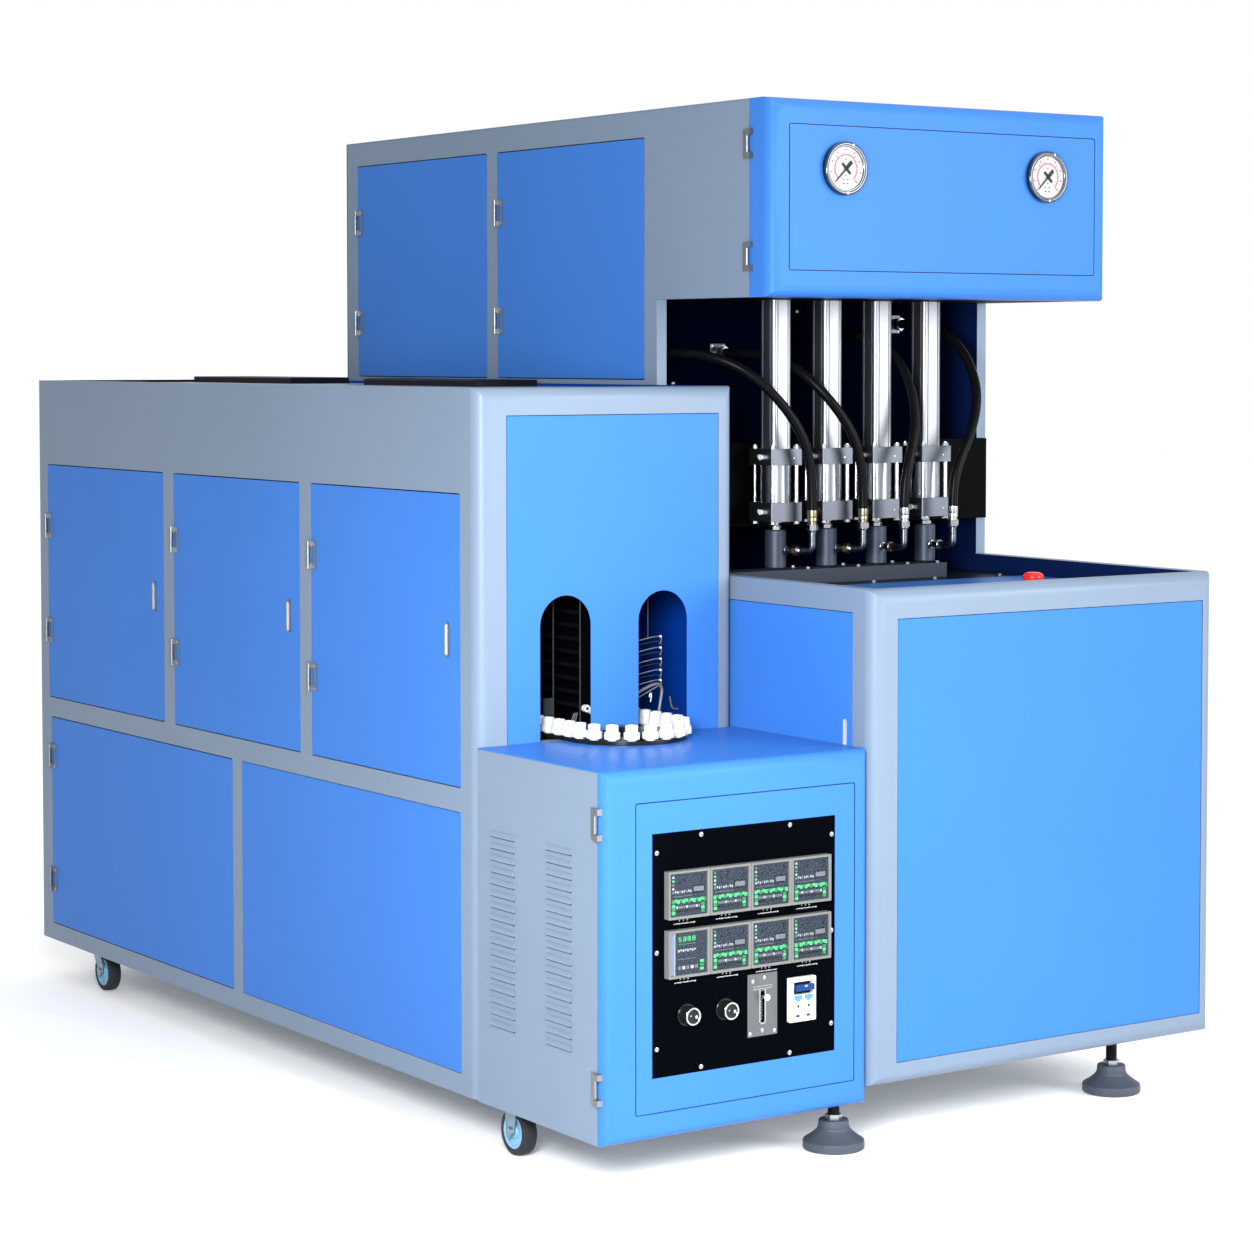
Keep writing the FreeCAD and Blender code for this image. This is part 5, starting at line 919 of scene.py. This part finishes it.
class GaugesOperator(Operator):
    """Makes the two pressure gauges with their dials and needles"""
    bl_idname = "moulder.gauges"
    bl_label = "Pressure gauges"

    places = {"left": 806.0, "right": 1355.0}
    height, sweep_deg = 1943.0, 270.0

    def execute(self, context):
        for side, x in self.places.items():
            self.case(side, x)
            self.needle(side, x)
        return {"FINISHED"}

    def case(self, side, x):
        """A dark chromed case with a white dial, a red ring and ticks round it."""
        bm = bmesh.new()
        base = (x, HEAD_FRONT, self.height)
        lathe(bm, ((43, 0), (54.0, 0), (55.0, 1.5), (55.0, 9.5), (54.4, 11.6), (52.8, 13.4), (50.6, 14.0),
                   (48.2, 13.6), (46.8, 12.4), (45.4, 12.4), (44.4, 11.4), (44.4, 8.6)), base, FRONT, 96)
        lathe(bm, ((44.4, 8.6), (0, 8.6)), base, FRONT, 96, 1)
        bmesh.ops.remove_doubles(bm, verts=bm.verts, dist=JOIN)
        face = HEAD_FRONT - 8.6
        start, turn = math.radians(-self.sweep_deg / 2), math.radians(self.sweep_deg)
        for k in range(61):
            self.tick(bm, x, face, start + turn * k / 60, 27.0, 29.4, 2.4, 3)
        for k in range(28):
            self.tick(bm, x, face, start + turn * k / 27, 30.2, 32.6 if k % 9 else 36.0, 1.6,
                      3 if k % 3 else 2)
        for k in range(9):
            self.tick(bm, x, face, start + turn * k / 8, 36.4, 40.6, 3.4, 3)
        for u, v, w in ((-7, -22, 4.0), (5, -22, 4.0), (-6, -31, 4.4), (4, -31, 4.8), (0, 19, 4.0),
                        (0, -14, 3.4)):
            front_mark(bm, x + u, self.height + v, w, 2.4, face, 0.25, 2)
        for angle in (-88, 72):
            a = math.radians(angle)
            screw = (x + 50.4 * math.cos(a), HEAD_FRONT - 13.6, self.height + 50.4 * math.sin(a))
            lathe(bm, ((2.4, 0), (2.2, 0.4), (0, 0.5)), screw, FRONT, 12, 4)
        piece("gauge_case_" + side, bm, ["bezel chrome", "dial white", "dial ink", "dial red", "chrome"],
              "head_door", "gauge_cases")
        glass = bmesh.new()
        lathe(glass, ((0, 11.4), (44.3, 11.4), (44.3, 12.2), (0, 12.6)), base, FRONT, 64)
        piece("gauge_glass_" + side, glass, ["clear cover"], "head_door")

    def strip(self, bm, width, thickness, low, high, across=0.0):
        """A flat strip from low to high along a dial's radius."""
        verts = bmesh.ops.create_cube(bm, size=1.0)["verts"]
        bmesh.ops.scale(bm, vec=Vector((width, thickness, high - low)) * MM, verts=verts)
        bmesh.ops.translate(bm, vec=Vector((across, 0, (low + high) / 2)) * MM, verts=verts)
        return verts

    def on_dial(self, bm, verts, x, y, angle):
        """Turns points clockwise from the top, and puts them on a dial."""
        turn = Matrix.Rotation(angle, 4, "Y")
        bmesh.ops.transform(bm, matrix=Matrix.Translation(at(x, y, self.height)) @ turn, verts=verts)

    def tick(self, bm, x, face, angle, inner, outer, width, slot):
        """A mark along a radius."""
        verts = in_slot(self.strip(bm, width, 0.25, inner, outer), slot)
        self.on_dial(bm, verts, x, face - 0.12, angle)

    def needle(self, side, x):
        """A tapered needle with a weighted tail on a round hub, at rest at the low end."""
        bm = bmesh.new()
        y = HEAD_FRONT - 9.8
        for across, low, high, width in ((0, -20, -5, 8.0), (0, -8, 4, 4.6), (0, 2, 20, 3.4),
                                         (0, 18, 36, 2.4), (8.5, -2.6, 2.6, 13.0), (-8.5, -2.6, 2.6, 13.0)):
            self.strip(bm, width, 1.2, low, high, across)
        self.on_dial(bm, bm.verts, x, y - 0.6, math.radians(-self.sweep_deg / 2))
        lathe(bm, ((0, 0), (5.0, 0), (5.0, 1.8), (4.2, 2.4), (0, 2.4)), (x, y, self.height), FRONT, 32)
        name = "gauge_needle_" + side
        piece(name + "_pointer", bm, ["dial ink"], name, name)


class StationsOperator(Operator):
    """Makes the four blow stations: barrels, seal cylinders, nozzles and port fittings"""
    bl_idname = "moulder.stations"
    bl_label = "Blow stations"

    # How far each elbow stands from its nozzle, as (right, forward), and the height of the ports
    ports, port_z, elbow = ((40.0, 78.0), (40.0, 78.0), (0.0, 97.0), (0.0, 97.0)), 1141.0, 26.0
    barrel_foot, barrel_height = 1360.0, 600.0
    caps, tube = ((1325.0, 1360.0), (1204.0, 1245.0)), (1240.0, 1330.0)
    cap_half, tie_reach, nut = 42.0, 32.0, 6.0

    def execute(self, context):
        grooves = context.scene.moulder_sizes.barrel_grooves
        barrels, caps = bmesh.new(), bmesh.new()
        for x in STATION_X:
            self.barrel(barrels, x, grooves)
            self.seal_cylinder(caps, x)
        piece("barrels", barrels, ["drawn aluminium"], "machine", "stretch_cylinders")
        piece("seal_cylinder_bodies", caps,
              ["cylinder cap", "cylinder tube", "chrome", "white plastic", "zinc plate"],
              "machine", "seal_cylinders")
        for k, x in enumerate(STATION_X):
            self.nozzle(k, x)
        return {"FINISHED"}

    def barrel(self, bm, x, grooves):
        """An extruded barrel: rounded corners and narrow grooves down each side."""
        half, corner, groove, depth = 25.0, 8.0, 1.7, 1.9
        outline = []
        for quarter in range(4):
            turn = Matrix.Rotation(math.radians(90 * quarter), 2)
            side = []
            for k in range(grooves):
                place = -13.5 + 27.0 * k / max(1, grooves - 1)
                side += [(place - groove, -half), (place - 0.7 * groove, -half + depth),
                         (place + 0.7 * groove, -half + depth), (place + groove, -half)]
            arc = [(half - corner + corner * math.sin(a), -half + corner - corner * math.cos(a))
                   for a in (math.radians(15 * n) for n in range(7))]
            outline += [turn @ Vector(p) for p in side + arc]
        base = [bm.verts.new(at(x + p.x, STATION_Y + p.y, self.barrel_foot)) for p in outline]
        foot = bm.faces.new(base)
        top = bmesh.ops.extrude_face_region(bm, geom=[foot])
        lifted = [v for v in top["geom"] if isinstance(v, bmesh.types.BMVert)]
        bmesh.ops.translate(bm, vec=Vector(UP) * self.barrel_height * MM, verts=lifted)

    def seal_cylinder(self, bm, x):
        """Two square end caps on a round tube, with tie rods, nuts and push-in air fittings."""
        half, reach, (low_end, high_end) = self.cap_half, self.tie_reach, self.tube
        for low, high in self.caps:
            verts = block(bm, (x - half, x + half), (STATION_Y - half, STATION_Y + half), (low, high))
            upright = [e for e in {e for v in verts for e in v.link_edges}
                       if abs((e.verts[0].co - e.verts[1].co).normalized().z) > 0.9]
            bevel(bm, upright, 4, 4)
            self.air_fitting(bm, x - half, STATION_Y - 14, (low + high) / 2)
        rod(bm, 33.0, (x, STATION_Y, low_end), (x, STATION_Y, high_end), 48, 1)
        top, foot = self.caps[0][1], self.caps[1][0]
        for px in (x - reach, x + reach):
            for py in (STATION_Y - reach, STATION_Y + reach):
                rod(bm, 4.5, (px, py, low_end), (px, py, high_end), 16, 2)
                for z in (top, foot - self.nut):
                    hexagon(bm, 12, (px, py, z), UP, self.nut, 4)
                rod(bm, 4.0, (px, py, top), (px, py, top + 9), 16, 4)
        for z in (1340, 1222):
            rod(bm, 1.6, (x + 18, STATION_Y - half, z), (x + 18, STATION_Y - half - 0.3, z), 12, 2)

    def air_fitting(self, bm, x, y, z):
        """A push-in fitting that stands out to the left, with a second port beside it."""
        hexagon(bm, 13, (x, y, z), LEFT, 5, 4)
        lathe(bm, ((0, 5), (5.2, 5), (5.4, 9), (5.9, 9.2), (5.9, 10.8), (3.0, 11), (2.8, 9), (0, 9)),
              (x, y, z), LEFT, 24, 3)
        lathe(bm, ((0, 0), (4.4, 0), (4.2, 1.6), (2.2, 2.2), (0, 1.4)), (x, y + 17, z + 1), LEFT, 20, 3)

    def nozzle(self, index, x):
        """A turned nozzle with its rod and nuts, and the port fitting that leads up to the hose."""
        bm = bmesh.new()
        y = STATION_Y
        lathe(bm, ((0, 0), (18.6, 0), (20.0, 1.2), (21.4, 1.6), (23, 3.2), (23, 80.5), (21.4, 83.0),
                   (20.2, 84), (0, 84)), (x, y, 1101), UP, 64)
        hexagon(bm, 24, (x, y, 1185), UP, 6.5, 1)
        lathe(bm, ((13.0, 0), (13.0, 1.0), (11.0, 2.5), (8.3, 2.5)), (x, y, 1191.5), UP, 32, 1)
        hexagon(bm, 17, (x, y, 1194.0), UP, 5.0, 1)
        rod(bm, 8.0, (x, y, 1180), (x, y, 1300), 32, 1)
        right, forward = self.ports[index]
        reach = math.hypot(right, forward)
        way = Vector((right / reach, -forward / reach, 0))
        centre = Vector((x, y, self.port_z))
        brass = 2 if index < 2 else 1
        nut = 2 if index != 3 else 1
        lathe(bm, ((0, 20), (9.6, 20.0), (9.6, 25.6), (8.6, 26.6), (0, 26.6)), centre, way, 32, 1)
        lathe(bm, ((7.4, 26), (7.4, 31), (6.6, 31.6), (7.4, 32.2), (7.4, 44), (7.0, 44)), centre, way, 24, 3)
        hexagon(bm, 19, centre + way * 43.0, way, 8.0, nut)
        lathe(bm, ((10.4, 0), (10.4, 2.4), (9.2, 3.4), (7.0, 3.4)), centre + way * 51.0, way, 32, nut)
        lathe(bm, ((9.0, 0), (8.6, 3.0), (6.6, 8.0)), centre + way * 54.0, way, 32, 1)
        top = centre + way * reach
        sweep(bm, (centre + way * 56.0, centre + way * (reach - self.elbow), top,
                   top + Vector((0, 0, self.elbow)), top + Vector((0, 0, 50.0))), 7.4, 4, 12, 4)
        hexagon(bm, 22, (top.x, top.y, 1187.0), UP, 11.0, 1)
        lathe(bm, ((7.0, 0), (9.4, 1.0), (9.8, 2.6), (9.8, 4.2), (8.8, 5.2)), (top.x, top.y, 1182.0),
              UP, 32, 1)
        lathe(bm, ((8.0, 0), (10.2, 0.6), (10.2, 3.4), (9.3, 4.4), (9.3, 6.0), (11.0, 7.4), (11.0, 12.6),
                   (10.4, 13.8), (10.4, 15.6), (11.2, 16.8), (11.2, 27.8), (10.9, 30.6), (9.0, 31.0)),
              (top.x, top.y, 1198.0), UP, 32, brass)
        name = f"nozzle_{index + 1}"
        piece(name + "_body", bm, ["slate steel", "chrome", "brass", "dark steel", "pipe steel"], name, name)


class HosesOperator(Operator):
    """Makes the four air hoses on their smooth curves"""
    bl_idname = "moulder.hoses"
    bl_label = "Air hoses"

    # Each hose: points listed from its ferrule up to the port it goes into
    routes = (
        ((913.5, 122, 1229), (913.5, 122, 1272), (907, 121, 1335), (884, 122, 1395), (845, 130, 1452),
         (797, 147, 1503), (746, 178, 1543), (704, 225, 1562), (684, 285, 1566), (680, 345, 1566),
         (680, 385, 1566)),
        ((1052.1, 122, 1229), (1052.1, 122, 1272), (1044, 119, 1330), (1026, 121, 1385), (997, 128, 1432),
         (962, 142, 1478), (932, 175, 1520), (912, 222, 1548), (893, 275, 1562), (874, 330, 1566),
         (874, 385, 1566)),
        ((1150.7, 103, 1229), (1150.7, 103, 1272), (1163, 103, 1325), (1184, 111, 1378), (1200, 126, 1430),
         (1204, 144, 1482), (1202, 172, 1535), (1196, 212, 1575), (1184, 262, 1598), (1174, 322, 1606),
         (1174, 385, 1606)),
        ((1289.3, 103, 1229), (1289.3, 103, 1272), (1305, 103, 1324), (1338, 110, 1374), (1371, 124, 1424),
         (1392, 142, 1482), (1395, 170, 1540), (1388, 210, 1590), (1378, 262, 1620), (1370, 322, 1632),
         (1370, 385, 1632)),
    )

    def execute(self, context):
        diameter = context.scene.moulder_sizes.hose_diameter
        for index, route in enumerate(self.routes):
            points = [at(*p) for p in reversed(route)]
            centreline = curve_mesh(points, 0)
            bpy.data.meshes.remove(centreline)
            hose = bmesh.new()
            sweep(hose, route[::-1], diameter / 2 / MM, 0, 10, 6)
            obj = new_object(f"air_hose_{index + 1}", hose, ["hose rubber"], math.radians(50))
            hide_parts("air_hoses")
            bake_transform(obj)
        return {"FINISHED"}


class ChamberOperator(Operator):
    """Makes the hoses' ports and the bolts of the blow chamber"""
    bl_idname = "moulder.chamber"
    bl_label = "Blow chamber"

    def execute(self, context):
        self.manifold()
        self.bolts()
        return {"FINISHED"}

    def manifold(self):
        """A hexagonal union on a plate where each hose goes into the wall."""
        bm = bmesh.new()
        for route in HosesOperator.routes:
            x, y, z = route[-1]
            ease(bm, block(bm, (x - 20.8, x + 20.8), (415, CHAMBER_BACK), (z - 20.8, z + 20.8), 1), 1.2)
            hexagon(bm, 26, (x, y, z), BACK, 12)
            lathe(bm, ((12.6, 12), (13.0, 13), (13.0, 22), (11.4, 23.4), (11.4, 31)), (x, y, z), BACK, 32)
            for i in (-15, 15):
                for j in (-15, 15):
                    lathe(bm, ((3.2, 0), (3.0, 1.6), (0, 2.0)), (x + i, 415, z + j), FRONT, 12)
        piece("manifold_ports", bm, ["zinc plate", "dark steel"], "machine", "air_manifold")

    def bolts(self):
        """Zinc bolt heads on the nozzle bar, the table and the wall."""
        bm = bmesh.new()
        for x in (700.0, 942.8, 1081.4, 1220.0, 1305.0):
            for y in (176.0, 230.0):
                hexagon(bm, 10, (x, y, NOZZLE_BAR_TOP), UP, 4.5)
        for x, y in ((720, 120), (900, 130), (1080, 120), (1260, 130), (1440, 120), (1440, 380), (1200, 380)):
            hexagon(bm, 11, (x, y, TABLE), UP, 5)
        for x, z in ((720, 1640), (760, 1500), (1010, 1610), (1100, 1660), (1440, 1560), (1460, 1420),
                     (720, 1400)):
            lathe(bm, ((5.0, 0), (4.6, 2.2), (3.0, 3.2), (0, 3.4)), (x, CHAMBER_BACK, z), FRONT, 16)
        piece("chamber_bolts", bm, ["zinc plate"])


class ChainOperator(Operator):
    """Makes the preform holders on their chain, the guide, the turning wheel and the lamp bank"""
    bl_idname = "moulder.chain"
    bl_label = "Chain and holders"

    centre, radius, pitch = (323.0, -38.0), 117.4, 38.4
    # The holders that show round the front turn and in the arches, counted from its middle
    shown = range(-10, 9)

    def execute(self, context):
        holders = bmesh.new()
        for k in self.shown:
            self.holder(holders, *self.chain_point((k + 0.5) * self.pitch))
        piece("holder_caps", holders, ["white plastic"], "machine", "preform_holders")
        refined("chain_guide", ["gloss black plastic"], edge=0.8, least_area=0.0005)
        refined("turning_wheel", ["gloss black plastic"], "turning_wheel", edge=0.8,
                least_area=0.0005)
        refined("lamp_bank", ["deep black", "lamp tube"], paint=self.lamp_paint)
        self.lamp_wires()
        return {"FINISHED"}

    def lamp_paint(self, p, normal):
        """Glass on the tubes, which stand off both faces of the reflector, and black elsewhere."""
        return 20 < abs(p.x - self.centre[0]) < 32 and 75 < p.y < 1905

    def chain_point(self, distance):
        """A point of the chain line, counted from the middle of the front turn towards the left."""
        quarter = math.pi * self.radius / 2
        side = math.copysign(1, distance)
        along = abs(distance)
        if along < quarter:
            angle = along / self.radius
            return (self.centre[0] - side * self.radius * math.sin(angle),
                    self.centre[1] - self.radius * math.cos(angle))
        return self.centre[0] - side * self.radius, self.centre[1] + along - quarter

    def holder(self, bm, x, y):
        """A white spindle: a short stem, a toothed collar, a neck and a socket for the preform."""
        low = DECK + 9.0
        rod(bm, 9.0, (x, y, low), (x, y, low + 4), 24)
        lathe(bm, ((0, 3), (14.8, 3), (15.6, 3.8), (15.6, 16.2), (14.8, 17), (12.5, 17.4), (12.5, 30.2),
                   (11.7, 31), (7.4, 31), (7.0, 30.4), (7.0, 22), (0, 22)), (x, y, low), sides=32)
        for k in range(12):
            angle = math.radians(30 * k + 15)
            tooth = (x + 14.6 * math.cos(angle), y + 14.6 * math.sin(angle))
            rod(bm, 1.4, (*tooth, low + 4), (*tooth, low + 16), 6)

    def lamp_wires(self):
        """The lamps' feed wires in the right arch, and the rails and knobs that show in the left one."""
        bm = bmesh.new()
        for k, z in enumerate((985.0, 962.0, 939.0, 916.0, 895.0)):
            sweep(bm, ((352, 66, z - 16), (392, 54, z - 10), (430, 54, z - 3), (462, 57, z + 1), (474, 60, z),
                       (482, 63, z - 7), (478, 66, z - 16)), 1.2)
            sweep(bm, ((352, 68, z - 22), (398, 60, z - 20 + 4 * (k % 2)), (440, 60, z - 12),
                       (470, 64, z - 9), (486, 66, z - 16), (480, 68, z - 24)), 0.8, 1)
            rod(bm, 2.4, (474, 56.5, z), (474, 61, z), 12, 2)
        sweep(bm, ((352, 64, 850), (400, 54, 866), (440, 54, 884), (468, 57, 890), (480, 60, 878),
                   (477, 60, 860), (473, 60, 838), (468, 62, 810)), 3.0, 0, 8, 3)
        sweep(bm, ((352, 66, 846), (410, 58, 858), (450, 58, 876), (472, 60, 884)), 1.4)
        sweep(bm, ((446, 58, 862), (448, 57, 872), (452, 57, 866), (449, 58, 852)), 1.3, 2)
        rod(bm, 1.2, (444, 60, 980), (444, 60, 1110), 8, 1)
        sweep(bm, ((499, 60, 860), (501, 60, 842), (507, 60, 833), (520, 60, 833)), 1.6, 3)
        for x, y in ((277.0, 58.0), (246.0, 110.0)):
            block(bm, (x - 1.2, x + 1.2), (y - 1.2, y + 1.2), (DECK, 1120), 1)
        block(bm, (224, 244.5), (109, 114), (832, 868), 1)
        for x, z in ((289.0, 849.0), (304.0, 843.0)):
            rod(bm, 7.5, (x, 60, z), (x, 50, z), 20, 2)
            rod(bm, 3.0, (x, 50, z), (x, 48.5, z), 12, 1)
        for k in range(3):
            sweep(bm, ((262 + 5 * k, 66, 812), (258 + 5 * k, 62, 828 + 3 * k), (266 + 4 * k, 62, 840)), 1.0)
        piece("lamp_wires", bm, ["grey wire", "dark wire", "white plastic", "brown wire"])


class RollingOperator(Operator):
    """Makes the casters and the levelling feet"""
    bl_idname = "moulder.rolling"
    bl_label = "Casters and feet"

    caster_x = {"left": 50.0, "right": 570.0}
    axle_height, front_axle, rear_axle = 47.0, -70.0, 1838.0
    pad_top, thread_pitch = 58.0, 1.8
    feet = ((590.0, -375.0, OVEN_FLOOR), (1365.0, -336.0, BASE_BOTTOM), (1365.0, 1480.0, BASE_BOTTOM),
            (710.0, 1480.0, BASE_BOTTOM))

    def execute(self, context):
        for side, x in self.caster_x.items():
            self.wheel("front_wheel_" + side, x, self.front_axle)
            self.wheel("rear_wheel_" + side, x, self.rear_axle)
            fork = "caster_fork_" + side
            refined(fork, ["caster bracket"], fork, edge=0.8, least_area=0.0)
        refined("caster_mounts", ["caster bracket"], edge=0.8, least_area=0.0)
        self.pads()
        return {"FINISHED"}

    def wheel(self, name, x, y):
        """A rounded tyre on a pale blue hub with a rim and a bearing cap on each side."""
        bm = bmesh.new()
        base = (x, y, self.axle_height)
        lathe(bm, ((33.0, -14.0), (36.0, -16.0), (41.5, -15.6), (45.4, -13.0), (46.8, -8.5), (47.0, 0),
                   (46.8, 8.5), (45.4, 13.0), (41.5, 15.6), (36.0, 16.0), (33.0, 14.0)), base, (1, 0, 0), 64,
              ring=True)
        for side in (-1, 1):
            lathe(bm, ((33.4, 13.0), (33.2, 14.8), (31.0, 15.4), (28.6, 14.6), (27.0, 10.5), (14.0, 9.5),
                       (13.0, 13.6), (11.5, 14.8), (6.2, 14.8), (6.2, 2.0)), base, (side, 0, 0), 64, 1)
        piece(name + "_tyre", bm, ["tyre", "caster hub"], name, name)

    def pads(self):
        """Stepped rubber pads, and threaded stems with lock nuts."""
        pads, stems = bmesh.new(), bmesh.new()
        for x, y, floor in self.feet:
            lathe(pads, ((0, 0), (58.5, 0), (60.4, 1.0), (61, 3), (61, 15.5), (60.0, 18.0), (57.5, 19.4),
                         (46, 27.0), (36, 35.5), (33, 39), (31.8, 41.5), (31.8, 43), (30.4, 44.0),
                         (30.0, 55.5), (28.6, 57.6), (26.5, 58), (0, 58)), (x, y, 0), sides=96)
            thread = [(11.9, 57.0)]
            height = self.pad_top
            while height < floor - self.thread_pitch:
                thread += [(10.6, height + self.thread_pitch / 2), (11.9, height + self.thread_pitch)]
                height += self.thread_pitch
            lathe(stems, thread, (x, y, 0), sides=24)
            hexagon(stems, 30, (x, y, self.pad_top), UP, 10, 1)
            hexagon(stems, 30, (x, y, floor - 11.0), UP, 10.5, 1)
        piece("foot_pads", pads, ["foot rubber"], "machine", "levelling_feet")
        piece("foot_stems", stems, ["dark steel", "zinc plate"], "machine", "levelling_feet")


class StopOperator(Operator):
    """Makes the emergency stop button"""
    bl_idname = "moulder.stop"
    bl_label = "Stop button"

    place = (1144.0, -329.0, 1087.0)

    def execute(self, context):
        bm = bmesh.new()
        lathe(bm, ((0, -12), (11, -12), (11, 6), (16.0, 6), (19.8, 8.0), (21.3, 11.5), (21.5, 15.0),
                   (21.2, 18.5), (19.6, 21.6), (16.8, 23.8), (14.5, 25.0), (10.5, 25.8), (0, 26.0)),
              self.place, sides=64)
        piece("e_stop_head", bm, ["red plastic"], "e_stop_button", "e_stop_button")
        return {"FINISHED"}


OPERATORS = (FramesOperator, DoorsOperator, InstrumentsOperator, SwitchesOperator, GaugesOperator,
             StationsOperator, HosesOperator, ChamberOperator, ChainOperator, RollingOperator, StopOperator,
             StageOperator)


class MoulderPanel(Panel):
    """Lists the machine's paints, sizes and pieces in the sidebar"""
    bl_idname = "VIEW3D_PT_moulder"
    bl_label = "Blow moulding machine"
    bl_space_type = "VIEW_3D"
    bl_region_type = "UI"
    bl_category = "Blow Moulder"

    def draw(self, context):
        column = self.layout.column()
        for group in (context.scene.moulder_paints, context.scene.moulder_sizes):
            for name in group.__annotations__:
                column.prop(group, name)
        for operator in OPERATORS:
            column.operator(operator.bl_idname)


CLASSES = (MoulderPaints, MoulderSizes, *OPERATORS, MoulderPanel)


def register():
    """Registers the classes and the settings."""
    for cls in CLASSES:
        bpy.utils.register_class(cls)
    bpy.types.Scene.moulder_paints = PointerProperty(type=MoulderPaints)
    bpy.types.Scene.moulder_sizes = PointerProperty(type=MoulderSizes)


def unregister():
    """Removes the settings and the classes."""
    del bpy.types.Scene.moulder_sizes
    del bpy.types.Scene.moulder_paints
    for cls in reversed(CLASSES):
        bpy.utils.unregister_class(cls)


def finish_bare_nodes():
    """Gives the CAD nodes that are still shown their own finish."""
    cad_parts["stretch_rods"].data.materials.clear()
    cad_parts["stretch_rods"].data.materials.append(finish("chrome"))


def main():
    """Builds the scene."""
    register()
    for operator in OPERATORS:
        group, name = operator.bl_idname.split(".")
        getattr(getattr(bpy.ops, group), name)()
    finish_bare_nodes()


if __name__ == "__main__":
    main()
